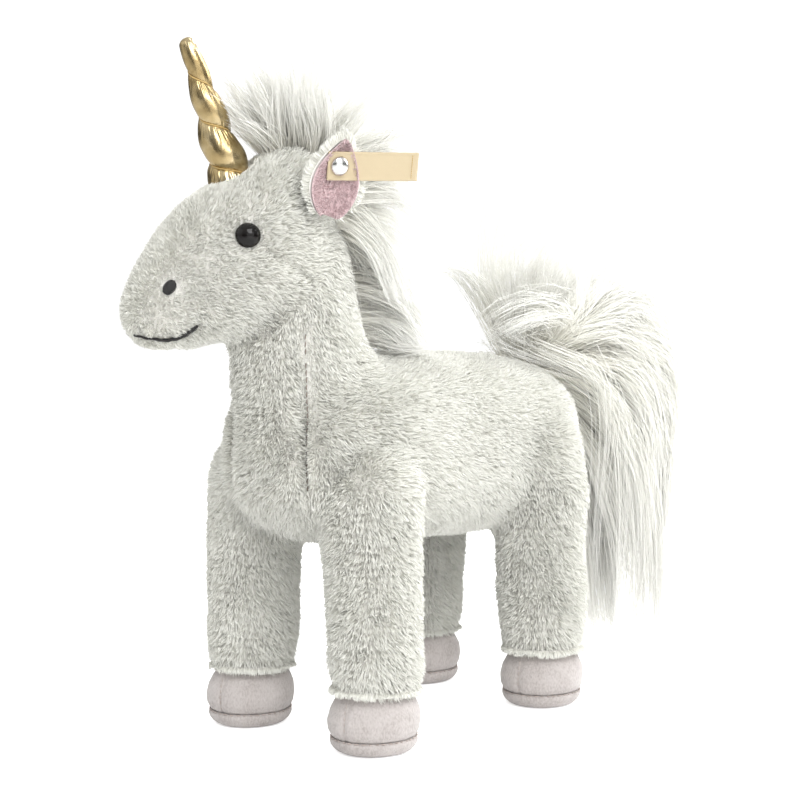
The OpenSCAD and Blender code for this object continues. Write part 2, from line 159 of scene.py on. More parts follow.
def grid_faces(rows, cols, closed=False):
    """Quads of a grid of points; closed joins its last column to the first."""
    last = cols if closed else cols - 1
    i, j = np.meshgrid(np.arange(rows - 1), np.arange(last), indexing="ij")
    k = (j + 1) % cols
    return np.stack([i * cols + j, i * cols + k, (i + 1) * cols + k, (i + 1) * cols + j], -1).reshape(-1, 4)


def ring_arrays(pts):
    """Points and triangles of a closed form through rings of points, with a fan on each end."""
    rows, cols, _ = pts.shape
    flat = np.vstack([pts.reshape(-1, 3), pts[0].mean(0), pts[-1].mean(0)])
    quads = grid_faces(rows, cols, closed=True)
    j = np.arange(cols)
    after = (j + 1) % cols
    end = (rows - 1) * cols
    first = np.stack([after, j, np.full(cols, rows * cols)], -1)
    last = np.stack([end + j, end + after, np.full(cols, rows * cols + 1)], -1)
    return flat, np.vstack([quads[:, [0, 1, 2]], quads[:, [0, 2, 3]], first, last])


def closed_rings(name, pts):
    return mesh_object(name, *ring_arrays(pts))


def gathered(name, pieces):
    """One mesh from several (points, triangles) pairs."""
    verts, faces, offset = [], [], 0
    for v, f in pieces:
        verts.append(v)
        faces.append(f + offset)
        offset += len(v)
    return mesh_object(name, np.vstack(verts), np.vstack(faces))


def tube(points, radii, sides=8):
    """Rings round a line of points, narrowing to its two ends, as (points, triangles)."""
    points = np.asarray(points, float)
    along = unit(np.gradient(points, axis=0))
    across = unit(np.cross(along, unit(np.array([0.31, 0.17, 0.93]))))
    round_it = circle(across[:, None], np.cross(along, across)[:, None], sides)
    return ring_arrays(points[:, None] + round_it * np.broadcast_to(radii, len(points))[:, None, None])


def stitch(start, end, r, bow):
    """One thread stitch: a short tube that rises by bow in its middle and sinks at its ends."""
    t = np.linspace(0, 1, 6)[:, None]
    line = start + (end - start) * t + bow * np.sin(np.pi * t)
    return tube(line, r * np.array([0.5, 0.9, 1, 1, 0.9, 0.5]), 6)


def fetched(items, attribute, width, kind=np.float32):
    """One attribute of all the items of a mesh, a row for each."""
    values = np.empty(len(items) * width, kind)
    items.foreach_get(attribute, values)
    return values.reshape(-1, width)


def mesh_arrays(ob):
    """Points in millimetres, normals, and triangles, of an object's own mesh."""
    me = ob.data
    me.calc_loop_triangles()
    return (fetched(me.vertices, "co", 3).astype(float) / MM, fetched(me.vertices, "normal", 3).astype(float),
            fetched(me.loop_triangles, "vertices", 3, np.int32))


def lay_map(ob, name, uv):
    """A UV map from a (u, v) for each vertex."""
    index = fetched(ob.data.loops, "vertex_index", 1, np.int32).ravel()
    ob.data.uv_layers.new(name=name).data.foreach_set("uv", uv[index].astype(np.float32).ravel())


def spun(name, profile, base, axis, hint, cols=48):
    """A turned form from (radius, height) stops about an axis."""
    across = unit(np.cross(axis, hint))
    r, h = np.array(profile, float).T[..., None, None]
    return closed_rings(name, base + h * axis + r * circle(across, np.cross(axis, across), cols))


def set_points(ob, pts_mm):
    ob.data.vertices.foreach_set("co", (pts_mm * MM).astype(np.float32).ravel())
    ob.data.update()


def apply_modifiers(ob):
    depsgraph = bpy.context.evaluated_depsgraph_get()
    made = bpy.data.meshes.new_from_object(ob.evaluated_get(depsgraph))
    ob.modifiers.clear()
    old = ob.data
    ob.data = made
    bpy.data.meshes.remove(old)
    return ob


def lattice_noise(p, size, seed):
    """Smooth vector noise in -1 to 1, from random values on a cubic lattice of this size."""
    table = np.random.default_rng(seed).uniform(-1, 1, (4096, 3))
    q = p / size
    cell = np.floor(q).astype(np.int64)
    t = q - cell
    t = t * t * (3 - 2 * t)
    total = np.zeros_like(p)
    for corner in range(8):
        o = np.array([corner & 1, corner >> 1 & 1, corner >> 2 & 1])
        c = cell + o
        key = (c[:, 0] * 73856093 ^ c[:, 1] * 19349663 ^ c[:, 2] * 83492791) & 4095
        w = np.prod(np.where(o, t, 1 - t), axis=1)
        total += table[key] * w[:, None]
    return total


def ramped(x, *stops):
    """Straight lines through (x, value) stops."""
    return np.interp(x, [a for a, _ in stops], [b for _, b in stops])


def smooth_step(x, start, end):
    t = np.clip((x - start) / (end - start), 0, 1)
    return t * t * (3 - 2 * t)


# ---------------------------------------------------------------- materials
def fill_inputs(nt, node, values):
    """Sets a node's inputs: a socket is linked, and anything else becomes the input's own value."""
    for key, value in values.items():
        if isinstance(value, bpy.types.NodeSocket):
            nt.links.new(value, node.inputs[key])
        else:
            node.inputs[key].default_value = value
    return node


def add_node(nt, kind, values=None, **settings):
    """A new shader node with its settings and its inputs."""
    node = nt.nodes.new("ShaderNode" + kind)
    for key, value in settings.items():
        setattr(node, key, value)
    return fill_inputs(nt, node, values or {})


def material(name, color, roughness, slot_name, metallic=0.0, sheen=0.0, ior=1.45):
    """A material, its node tree and its main node."""
    m = bpy.data.materials.new(name)
    m.use_nodes = True
    m["slot"] = slot_name
    nt = m.node_tree
    p = fill_inputs(nt, nt.nodes["Principled BSDF"], {
        "Base Color": (*color, 1), "Roughness": roughness, "Metallic": metallic,
        "Sheen Weight": sheen, "Sheen Roughness": 0.5, "IOR": ior})
    return m, nt, p


def ramp(nt, fac, stops):
    node = add_node(nt, "ValToRGB", {"Fac": fac})
    elements = node.color_ramp.elements
    while len(elements) < len(stops):
        elements.new(0.5)
    for item, (at, color) in zip(elements, stops):
        item.position = at
        item.color = (*color, 1)
    return node.outputs["Color"]


def coords(nt, scale=(1, 1, 1)):
    """The piece's own coordinates, stretched."""
    own = add_node(nt, "TexCoord").outputs["Object"]
    return add_node(nt, "Mapping", {"Vector": own, "Scale": scale}).outputs["Vector"]


def noise(nt, scale, detail=3.0, vector=None, rough=0.5):
    if vector is None:
        vector = coords(nt)
    values = {"Vector": vector, "Scale": scale, "Detail": detail, "Roughness": rough}
    return add_node(nt, "TexNoise", values).outputs["Fac"]


def add_bump(nt, p, height, strength, distance):
    bump = add_node(nt, "Bump", {"Height": height, "Strength": strength, "Distance": distance})
    nt.links.new(bump.outputs["Normal"], p.inputs["Normal"])


def color_by(nt, p, fac, *stops):
    nt.links.new(ramp(nt, fac, stops), p.inputs["Base Color"])


def mixed(nt, fac, a, b, blend="MIX"):
    """Two colours mixed. Each is a socket or an (r, g, b)."""
    first, second = [(*c, 1) if isinstance(c, tuple) else c for c in (a, b)]
    node = add_node(nt, "Mix", {0: fac, 6: first, 7: second}, data_type="RGBA", blend_type=blend)
    return node.outputs[2]


def strand_material(name, root, middle, tip, slot_name, roughness=0.75, sheen=0.25, tone=0.10):
    """Hair coloured from root to tip along V and from strand to strand along U of its own map."""
    m, nt, p = material(name, tip, roughness, slot_name, sheen=sheen)
    uv = add_node(nt, "UVMap", uv_map="OFBake").outputs["UV"]
    split = add_node(nt, "SeparateXYZ", {0: uv}).outputs
    # the pile's and the nap's darker root colours are painted shade down among the strands; the long pile's
    # cream roots are its own tint
    along = ramp(nt, split["Y"], [(0.0, root), (0.45, middle), (1.0, tip)])
    grey = 1 - tone
    shade = ramp(nt, split["X"], [(0.0, (grey, grey, grey * 0.99)), (0.6, (0.98, 0.98, 0.97)), (1.0, (1, 1, 1))])
    nt.links.new(mixed(nt, 1.0, along, shade, "MULTIPLY"), p.inputs["Base Color"])
    return m


def fabric_material(name, color, dark, slot_name, weave=1500.0, roughness=0.85, sheen=0.3):
    """A close woven or felted cloth: fine crossed ribs with a little soiling."""
    m, nt, p = material(name, color, roughness, slot_name, sheen=sheen)
    fine = noise(nt, weave, 2.0)
    color_by(nt, p, mixed(nt, 0.5, fine, noise(nt, 60.0)), (0.32, dark), (0.62, color))
    add_bump(nt, p, fine, 0.35, 0.0004)
    return m


def eye_material():
    """Gloss black, faintly brown where the light goes in."""
    m, nt, p = material("eye_gloss", (0.004, 0.0035, 0.0035), 0.05, "eye_gloss", ior=1.38)
    color_by(nt, p, noise(nt, 300.0), (0.35, (0.003, 0.0025, 0.0025)), (0.8, (0.008, 0.006, 0.005)))
    return m


def foil_material():
    """Gold foil cloth: finely crinkled, with darker brown blotches spread at random."""
    m, nt, p = material("gold_foil", (0.83, 0.60, 0.26), 0.22, "gold_foil", metallic=1.0)
    wrinkle = noise(nt, 300.0, 3.0, coords(nt, (1, 1, 0.5)), 0.55)
    color_by(nt, p, noise(nt, 110.0), (0.25, (0.28, 0.19, 0.075)), (0.5, (0.47, 0.36, 0.185)),
             (0.8, (0.72, 0.60, 0.38)))
    rough = add_node(nt, "MapRange", {"Value": wrinkle, "To Min": 0.15, "To Max": 0.34})
    nt.links.new(rough.outputs["Result"], p.inputs["Roughness"])
    add_bump(nt, p, wrinkle, 0.30, 0.0008)
    return m


def metal_material():
    """Polished plated steel with the faint marks of handling."""
    m, nt, p = material("rivet_metal", (0.80, 0.80, 0.78), 0.16, "rivet_metal", metallic=1.0)
    marks = noise(nt, 900.0, 4.0, coords(nt, (1, 1, 4)))
    color_by(nt, p, marks, (0.3, (0.66, 0.66, 0.64)), (0.7, (0.88, 0.88, 0.87)))
    add_bump(nt, p, marks, 0.08, 0.0002)
    return m


def velour_material():
    """Pale pinkish velour: a fine nap in upright wales."""
    m, nt, p = material("hoof_velour", (0.84, 0.79, 0.77), 0.92, "hoof_velour", sheen=0.4)
    fine = noise(nt, 1500.0, 2.0, coords(nt, (1, 1, 0.55)))
    shade = mixed(nt, 0.42, fine, noise(nt, 110.0, 4.0))
    color_by(nt, p, shade, (0.34, (0.40, 0.36, 0.345)), (0.5, (0.51, 0.47, 0.455)), (0.68, (0.58, 0.54, 0.525)))
    add_bump(nt, p, fine, 0.5, 0.0005)
    return m


def ribbon_material():
    """Plain woven cotton ribbon: crossed ribs from two waves along the tab's own map."""
    m, nt, p = material("cotton_ribbon", (0.80, 0.63, 0.34), 0.65, "cotton_ribbon", sheen=0.2)
    uv = add_node(nt, "UVMap", uv_map="weave").outputs["UV"]
    warp, weft = [
        add_node(nt, "TexWave", {"Vector": uv, "Scale": scale, "Distortion": 0.5}, bands_direction=way)
        for way, scale in (("X", 26.0), ("Y", 11.0))]
    cross = mixed(nt, 0.5, warp.outputs["Fac"], weft.outputs["Fac"])
    color_by(nt, p, cross, (0.15, (0.52, 0.42, 0.26)), (0.75, (0.66, 0.55, 0.37)))
    add_bump(nt, p, cross, 0.4, 0.0003)
    return m


# the plush pile: its greyer, warmer roots are painted shade down in the pile, and its tips are the plush's own
# off-white
M_PILE = strand_material("plush_pile", (0.77, 0.765, 0.71), (0.87, 0.868, 0.82), (0.925, 0.924, 0.885),
                         "white_plush", tone=0.05)
M_SKIN = fabric_material("plush_backing", (0.88, 0.87, 0.84), (0.80, 0.78, 0.74), "white_plush")
M_HAIR = strand_material("long_pile", (0.955, 0.935, 0.86), (0.97, 0.965, 0.92), (0.98, 0.978, 0.96),
                         "long_pile", roughness=0.55)
M_SATIN = fabric_material("pink_lining", (0.66, 0.50, 0.51), (0.50, 0.36, 0.38), "pink_satin",
                          weave=2200, sheen=0.5)
M_BLACK = fabric_material("black_thread", (0.022, 0.021, 0.021), (0.01, 0.01, 0.01), "black_thread",
                          roughness=0.5, sheen=0.1)
# the chest seams' thread: dark brown, partly for the real stitches and partly as painted shade of the seam's
# groove
M_SEAM_SHADE = fabric_material("seam_thread", (0.26, 0.22, 0.19), (0.15, 0.12, 0.10), "white_plush",
                         roughness=0.8, sheen=0.1)
M_EYE = eye_material()
M_FOIL = foil_material()
M_METAL = metal_material()
M_VELOUR = velour_material()
M_RIBBON = ribbon_material()
M_GOLD_THREAD = fabric_material("gold_thread", (0.60, 0.42, 0.16), (0.40, 0.27, 0.09), "gold_thread",
                                roughness=0.45, sheen=0.1)


def dress(ob, m, body=None, replaces=()):
    """Gives a piece its material and slot, and puts it on its body."""
    ob.data.materials.clear()
    ob.data.materials.append(m)
    if body:
        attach(ob, body)
    if replaces:
        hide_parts(*replaces)
    return ob


# ---------------------------------------------------------------- the stuffed form
# the head's outline: (forward, height or half width) stops
HEAD_TOP = ((-17, 200), (-12, 214), (-4, 221), (8, 217), (18, 210.5), (28, 204.5), (36, 200), (44, 191.5),
            (53, 180), (58, 171.5), (61.5, 163))
HEAD_BOTTOM = ((-17, 190), (-12, 172), (-4, 160), (10, 151), (22, 148), (35, 145), (44, 143.5), (52, 144.5),
               (57, 148), (61.5, 155))
HEAD_SIDE = ((-17, 6), (-12, 20), (-4, 27), (8, 31), (20, 30), (33, 26), (44, 22.5), (53, 18.5), (58, 13.5),
             (61.5, 5))
TORSO_LOW, TORSO_HIGH = box_mm("torso_panel_left")
TORSO_MIDDLE_Y = (TORSO_LOW[1] + TORSO_HIGH[1]) / 2
TORSO_HALF = np.array([TORSO_HIGH[0], 82.0, 36.5])
TORSO_Z = 106.5


def signed_power(v, p):
    return np.sign(v) * np.abs(v) ** p


def torso_form():
    rows, cols = 56, 64
    a = np.radians(np.linspace(-89.5, 89.5, rows))[:, None]
    b = np.radians(np.linspace(0, 360, cols, endpoint=False))[None, :]
    s = np.cos(a) ** (2 / 3.2)
    y = signed_power(np.sin(a), 2 / 3.2)
    waist = 1 - 0.07 * np.exp(-(y / 0.45) ** 2)
    pts = np.stack([TORSO_HALF[0] * s * waist * signed_power(np.cos(b), 2 / 2.5),
                    TORSO_MIDDLE_Y + TORSO_HALF[1] * y * np.ones_like(b),
                    TORSO_Z + TORSO_HALF[2] * s * signed_power(np.sin(b), 2 / 2.5)], -1)
    return closed_rings("torso_form", pts)


def head_form():
    stations = np.concatenate([np.linspace(-17, -9, 8), np.linspace(-7, 52, 26), np.linspace(54, 61.5, 12)])
    around = np.radians(np.linspace(0, 360, 48, endpoint=False))
    pts = np.empty((len(stations), len(around), 3))
    for i, f in enumerate(stations):
        top, bottom, side = ramped(f, *HEAD_TOP), ramped(f, *HEAD_BOTTOM), ramped(f, *HEAD_SIDE)
        for j, a in enumerate(around):
            pts[i, j] = head_place(side * signed_power(np.cos(a), 0.9), f,
                                   (top + bottom) / 2 + (top - bottom) / 2 * signed_power(np.sin(a), 0.9))
    return closed_rings("head_form", pts)


def capsule(name, start, end, r0, r1, steps=8, cols=40):
    """A round-ended tapered tube."""
    axis = unit(end - start)
    side = unit(np.cross(axis, [1.0, 0.2, 0.1]))
    rim = circle(side, np.cross(axis, side), cols)
    steep = np.pi / 2 - 0.08
    rings = []
    for t in np.linspace(-steep, 0, steps):
        rings.append(start + axis * r0 * math.sin(t) + rim * r0 * math.cos(t))
    for t in np.linspace(0.1, 0.9, steps):
        rings.append(start + (end - start) * t + rim * (r0 + (r1 - r0) * t))
    for t in np.linspace(0, steep, steps):
        rings.append(end + axis * r1 * math.sin(t) + rim * r1 * math.cos(t))
    return closed_rings(name, np.array(rings))


def join_forms(name, parts, voxel, smooth_steps):
    """Welds closed forms into one skin and softens the places where they meet."""
    bpy.ops.object.select_all(action="DESELECT")
    for o in parts:
        o.select_set(True)
    bpy.context.view_layer.objects.active = parts[0]
    bpy.ops.object.join()
    ob = bpy.context.view_layer.objects.active
    ob.name = name
    remesh = ob.modifiers.new("weld", "REMESH")
    remesh.mode = "VOXEL"
    remesh.voxel_size = voxel * MM
    smooth = ob.modifiers.new("soften", "SMOOTH")
    smooth.iterations = smooth_steps
    smooth.factor = 0.5
    return apply_modifiers(ob)


def body_form():
    parts = [torso_form(), head_form(),
             capsule("neck_form", NECK_BASE - 8 * NECK_AXIS, NECK_TOP, 28.0, 23.0),
             capsule("shoulders", NECK_BASE + [0, 14, -6], NECK_BASE + [0, -2, 12], 31.0, 27.0)]
    for name, top in LEGS.items():
        inward = -np.sign(top[0])
        foot = top * [1, 1, 0] + [0, 0, 30.0]
        parts.append(capsule(name + "_form", foot, top + [3 * inward, 0, 2], LEG_R + 0.4, LEG_R + 2.2))
        if name.startswith("hind"):
            low, high = top + [2 * inward, 2, -8], top + [4 * inward, -2, 10]
            parts.append(capsule(name + "_thigh", low, high, 19.5, 20.5))
    return join_forms("body_form", parts, 2.2, 14)


CHEST_SEAM_X = 18       # each chest seam's distance from the toy's middle


def chest_seam(p):
    """How near each point is to one of the two seams that run straight down the chest, from 0 to 1."""
    front = smooth_step(NECK_BASE[1] - 2 - p[:, 1], 0, 6)
    reach = smooth_step(p[:, 2], 90, 98) * (1 - smooth_step(p[:, 2], 150, 158))
    line_x = CHEST_SEAM_X + lattice_noise(p * [0, 0, 1], 9.0, 31)[:, 0] * 0.7
    return np.exp(-((np.abs(p[:, 0]) - line_x) / 2.2) ** 2) * front * reach


def cheek_dart(p):
    """How near each point is to the short dart that runs back from an eye."""
    forward, side = head_reach(p)
    along = smooth_step(forward, -6, 0) * (1 - smooth_step(forward, 15, 20))
    line_z = 171.5 + 0.5 * forward
    return np.exp(-((p[:, 2] - line_z) / 1.8) ** 2) * along * (np.abs(side) > 10)


EYE_NORMAL = unit(0.957 * HEAD_LEFT + 0.203 * HEAD_FORWARD + 0.208 * UP)
EYE_PLACE = head_place(28.6, 21.5, 185.5)


def shape_skin(ob):
    """Sinks the skin under its pile, pulls in its seams and eyes, and adds the unevenness of stuffing."""
    p, n, _ = mesh_arrays(ob)
    lumps = lattice_noise(p, 24.0, 5)[:, :1] * 0.8 + lattice_noise(p, 12.0, 6)[:, :1] * 0.4
    pull = 2.4 * chest_seam(p) * (1 + 1.1 * np.exp(-((p[:, 2] - 118) / 12) ** 2)) + 0.8 * cheek_dart(p)
    for eye in (EYE_PLACE, mirrored(EYE_PLACE)):
        pull += 1.3 * np.exp(-(np.linalg.norm(p - eye, axis=1) / 7) ** 2)
    set_points(ob, p - n * (SKIN_INSET - lumps) - n * pull[:, None])
    return ob


# the neck's skin starts on a plane that rises from the chest to the withers, and is cut into two pieces along
# that plane's normal
NECK_FOOT = NECK_BASE + [0, 0, 14]
NECK_TILT = np.array([0, -0.335, 0.942])


def region_of(p):
    """Which piece each point belongs to."""
    names = np.full(len(p), "torso", dtype=object)
    rel = p - NECK_BASE
    off_axis = np.linalg.norm(rel - np.outer(rel @ NECK_AXIS, NECK_AXIS), axis=1)
    up_neck = (p - NECK_FOOT) @ NECK_TILT
    neck = (up_neck > 0) & (off_axis < 36) & (p[:, 2] > 122)
    names[neck] = "neck_low"
    names[neck & (up_neck > 14.3)] = "neck_up"
    forward, side = head_reach(p)
    top, bottom, wide = ramped(forward, *HEAD_TOP), ramped(forward, *HEAD_BOTTOM), ramped(forward, *HEAD_SIDE)
    mid, half = (top + bottom) / 2, (top - bottom) / 2
    inside = ((p[:, 2] - mid) / (half + 1)) ** 2 + (side / (wide + 1)) ** 2
    jaw = (inside < 1.2) & (forward > -20) & (off_axis > 19)
    names[(p[:, 2] > 140) & (jaw | (forward > 24) | (p[:, 2] > 198))] = "head"
    for name, top_at in LEGS.items():
        reach = np.linalg.norm(p[:, :2] - top_at[:2], axis=1)
        names[(reach < LEG_R + 5) & (p[:, 2] < top_at[2] + 1) & (np.abs(p[:, 0]) > 11)] = name
    return names


BENDS = {
    "neck_low": ("torso", "neck", NECK_FOOT, NECK_FOOT + 14 * NECK_TILT),
    "neck_up": ("neck", "head", NECK_FOOT + 14.6 * NECK_TILT, NECK_FOOT + 23 * NECK_TILT),
}
for leg, top in LEGS.items():
    inward = -np.sign(top[0])
    BENDS[leg] = ("torso", leg, top + [inward * 6, 0, -2], top + [-inward * 4, 0, -38])


def settle(ob, region, m):
    """Puts a skin or fur piece on its body, or, where it covers a joint, leaves it on no body with its place
    baked into its points.
    """
    dress(ob, m)
    if region in BENDS:
        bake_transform(ob)
    else:
        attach(ob, region)
    return ob


# ---------------------------------------------------------------- short pile
def grow_pile(roots, normals, length, width, lean, seed, clump=3.0, pull=0.34, lift=None, rough=0.16):
    """Bent tapered blades on the roots. Neighbours lean together into small tufts."""
    rng = np.random.default_rng(seed)
    n = len(roots)
    warp = roots + lattice_noise(roots, 9.0, seed + 1) * 1.6
    cell = np.floor(warp / clump)
    key = (cell[:, 0].astype(np.int64) * 92837111 ^ cell[:, 1].astype(np.int64) * 689287499
           ^ cell[:, 2].astype(np.int64) * 283923481) & 8191
    table = np.random.default_rng(seed + 2).uniform(0.15, 0.85, (8192, 3))
    centre = (cell + table[key]) * clump + (roots - warp)
    drift = lattice_noise(roots, 14.0, seed + 3) * 0.30 + lattice_noise(roots, 4.5, seed + 4) * 0.28
    direction = unit(normals + lean + drift + rng.normal(0, rough, (n, 3)))
    size = length * rng.uniform(0.75, 1.1, n) * (1 + 0.14 * lattice_noise(roots, 16.0, seed + 5)[:, 0])
    if lift is not None:
        size = size * lift
    tip = roots + direction * size[:, None]
    to_centre = centre - roots
    to_centre -= normals * row_dot(to_centre, normals)
    tip = tip + to_centre * pull
    middle = roots + (tip - roots) * 0.52 + normals * (0.16 * size)[:, None] - to_centre * pull * 0.22
    side = unit(np.cross(direction, rng.normal(0, 1, (n, 3))))
    half = (width * rng.uniform(0.75, 1.2, n) / 2)[:, None]
    base = roots - normals * 0.4
    wide = side * half
    verts = np.stack([base - wide, base + wide, middle - wide * 0.85, middle + wide * 0.85, tip], 1)
    along = np.array([0.0, 0.0, 0.55, 0.55, 1.0])
    faces = np.array([[0, 1, 3], [0, 3, 2], [2, 3, 4]])[None] + (np.arange(n) * len(along))[:, None, None]
    return verts.reshape(-1, 3), faces.reshape(-1, 3), rng.uniform(0, 1, n), along


def strand_uv(ob, tone, along):
    """One map for all strands: U is the strand's tone, V runs from root to tip."""
    uv = np.stack([np.repeat(tone, len(along)), np.tile(along, len(tone))], -1)
    lay_map(ob, "OFBake", 0.02 + 0.96 * uv)


def scatter(ob, per_mm2, seed):
    """Even random points on a mesh with their smooth normals."""
    p, n, tri = mesh_arrays(ob)
    a, b, c = p[tri[:, 0]], p[tri[:, 1]], p[tri[:, 2]]
    area = np.linalg.norm(np.cross(b - a, c - a), axis=1) / 2
    rng = np.random.default_rng(seed)
    count = int(area.sum() * per_mm2)
    pick = rng.choice(len(tri), count, p=area / area.sum())
    u, v = rng.uniform(0, 1, (2, count))
    flip = u + v > 1
    u[flip], v[flip] = 1 - u[flip], 1 - v[flip]
    w = np.stack([1 - u - v, u, v], -1)[:, :, None]
    return (p[tri[pick]] * w).sum(1), unit((n[tri[pick]] * w).sum(1))


STRANDS_A_PIECE = 64000
FUR_DENSITY = 4.2      # strands a square millimetre
FUR_WIDTH = 0.44


def add_fur(name, region, roots, normals, **how):
    """The fur of a region, in pieces of a limited number of strands."""
    for k, first in enumerate(range(0, len(roots), STRANDS_A_PIECE)):
        part = slice(first, first + STRANDS_A_PIECE)
        extra = {key: (value[part] if isinstance(value, np.ndarray) and len(value) == len(roots) else value)
                 for key, value in how.items()}
        verts, faces, tone, along = grow_pile(roots[part], normals[part], **extra)
        ob = mesh_object(f"{name}_{k + 1}", verts, faces)
        strand_uv(ob, tone, along)
        settle(ob, region, M_PILE)


def body_flow(p, n, names):
    """The way the pile is brushed: down the body and legs, back over the head."""
    flow = np.tile([0.0, 0.30, -0.75], (len(p), 1))
    flow[names == "torso"] = [0.0, 0.65, -0.45]
    flow[names == "head"] = -0.8 * HEAD_FORWARD + [0, 0, 0.05]
    return flow - n * row_dot(flow, n)


def split_skin(ob):
    """Cuts the skin into its pieces without moving a point, and leaves each leg open at its hem."""
    p, _, tri = mesh_arrays(ob)
    centre = p[tri].mean(1)
    names = region_of(centre)
    keep = centre[:, 2] > HEM_Z
    pieces = {}
    for region in sorted(set(names[keep])):
        used, inverse = np.unique(tri[(names == region) & keep], return_inverse=True)
        pieces[region] = mesh_object(region + "_skin", p[used], inverse.reshape(-1, 3))
    return pieces


REPLACED = {
    "torso": ["torso_panel_left", "torso_panel_right", "belly_gusset", "torso_stuffing"],
    "neck_low": ["neck_panel_left", "neck_panel_right", "neck_gusset"],
    "neck_up": ["neck_stuffing"],
    "head": ["head_panel_left", "head_panel_right", "head_gusset", "chin_gusset", "head_stuffing"],
}
for leg in LEGS:
    REPLACED[leg] = [leg + "_leg", leg + "_leg_stuffing"]

body = shape_skin(body_form())
_points, _, _triangles = mesh_arrays(body)
SKIN = BVHTree.FromPolygons([Vector(v) for v in _points], [tuple(map(int, t)) for t in _triangles])


def on_skin(start, direction):
    """Where a ray first meets the skin, and the skin's outward direction there."""
    place, normal, _, _ = SKIN.ray_cast(Vector(start), Vector(unit(direction)))
    if place is None:
        place, normal, _, _ = SKIN.find_nearest(Vector(start + unit(direction) * 48))
    return np.array(place), np.array(normal)


def smooth_on_skin(start, direction):
    """As on_skin, with the direction averaged over a few millimetres."""
    place, normal = on_skin(start, direction)
    offsets = (UP, -UP, HEAD_FORWARD, -HEAD_FORWARD)
    around = [on_skin(start + 2.0 * offset, direction)[1] for offset in offsets]
    return place, unit(normal + np.sum(around, axis=0))


# ---------------------------------------------------------------- the embroidered face
def face_spot(side_sign, forward, up):
    """A point of the skin, seen from the head's own side."""
    return smooth_on_skin(head_place(side_sign * 60, forward, up), -side_sign * HEAD_LEFT)


def nostril_stitches():
    """A satin-stitched slanted oval on each side of the muzzle."""
    pieces, middles = [], []
    for sign in (1, -1):
        place, normal = face_spot(sign, 46.5, 167.0)
        long_way = unit(-0.80 * HEAD_FORWARD + 0.60 * UP)
        long_way = unit(long_way - normal * (long_way @ normal))
        short_way = np.cross(normal, long_way)
        middles.append(place)
        rows = 17
        for k in range(rows):
            s = (k + 0.5) / rows * 2 - 1
            reach = 2.15 * (1 - abs(s) ** 2.6) ** 0.5
            slant = long_way * (0.5 * reach) * 0.3
            centre = place + long_way * s * 2.75 + normal * 1.1
            start, end = centre - short_way * reach - slant, centre + short_way * reach + slant
            pieces.append(stitch(start, end, 0.25, normal * 0.75))
    return gathered("nostrils", pieces), middles


def mouth_stitches():
    """A smile of slanted stitches round the muzzle, heavier towards the corners of the mouth."""
    heights = ((37.0, 154.6), (39.5, 152.4), (42.5, 150.6), (47, 149.6), (52, 150.2), (55.5, 151.0))
    pieces, line = [], []
    for sign in (1, -1):
        path = []
        for forward in np.linspace(55.5, 37.2, 46):
            place, normal = face_spot(sign, forward, ramped(forward, *heights))
            path.append(place + normal * 1.25)
        path = np.array(path)
        for _ in range(3):
            path[1:-1] = (path[:-2] + 2 * path[1:-1] + path[2:]) / 4
        line.append(path)
        along = unit(np.gradient(path, axis=0))
        heavy = np.interp(np.arange(len(path)), [0, 6, 18, 34, 42, 45], [0.35, 0.45, 0.65, 1.0, 1.0, 0.60])
        wobble = 1 + 0.18 * np.sin(np.arange(len(path)) * 0.9 + sign)
        for k in range(len(path)):
            normal = unit(path[k] - HEAD_CENTRE - (path[k] @ UP) * UP - HEAD_FORWARD * 30)
            across = unit(np.cross(along[k], normal))
            w = 0.85 * heavy[k] * wobble[k]
            start = path[k] - across * w - along[k] * 0.45
            end = path[k] + across * w + along[k] * 0.45
            pieces.append(stitch(start, end, 0.27, normal * 0.45))
        pieces.append(tube(path, 0.34 + 0.22 * heavy, 8))
    return gathered("mouth", pieces), np.vstack(line)


EYE_PROFILE = ((0.0, 2.95), (1.2, 2.82), (2.3, 2.42), (3.3, 1.72), (4.0, 0.85), (4.35, 0.1), (4.5, -0.6),
               (4.2, -1.2), (1.5, -1.4), (1.4, -5.0))      # (radius, height), from the dome down to the stem


def eye_piece(name, place, normal):
    """A domed safety eye: a low ball cap with a rolled rim that sits in the pile."""
    at, stops = np.linspace(0, 1, 40), np.linspace(0, 1, len(EYE_PROFILE))
    radii, heights = [np.interp(at, stops, column) for column in zip(*EYE_PROFILE)]
    profile = np.stack([np.maximum(radii, 0.02), heights], -1)[::-1]
    ob = spun(name, profile, place, normal, UP)
    smooth = ob.modifiers.new("soften", "SMOOTH")
    smooth.iterations, smooth.factor = 2, 0.4
    return apply_modifiers(ob)


nostrils, NOSTRILS = nostril_stitches()
dress(nostrils, M_BLACK, "head", ["nostril_stitches"])
mouth, MOUTH = mouth_stitches()
dress(mouth, M_BLACK, "head", ["mouth_stitches"])
EYES = []
for name, place, normal in (("left", EYE_PLACE, EYE_NORMAL),
                            ("right", mirrored(EYE_PLACE), mirrored(EYE_NORMAL, False))):
    spot, _ = on_skin(place + 20 * normal, -normal)
    middle = spot + normal * 1.7
    EYES.append(middle)
    dress(eye_piece("eye_ball_" + name, middle, normal), M_EYE, "head", ["eye_" + name, "eye_washer_" + name])

# ---------------------------------------------------------------- the plush itself
roots, normals = scatter(body, FUR_DENSITY, 11)
names = region_of(roots)
flow = body_flow(roots, normals, names)
lift = np.where(names == "head", ramped(head_reach(roots)[0], (15, 0.88), (50, 0.66)), 1.0)


def distance_to(points):
    """How far each root is from the nearest of some points."""
    best = np.full(len(roots), 1e9)
    near = np.linalg.norm(roots - np.mean(points, axis=0), axis=1) < 70
    for q in np.atleast_2d(points):
        best[near] = np.minimum(best[near], np.linalg.norm(roots[near] - q, axis=1))
    return best


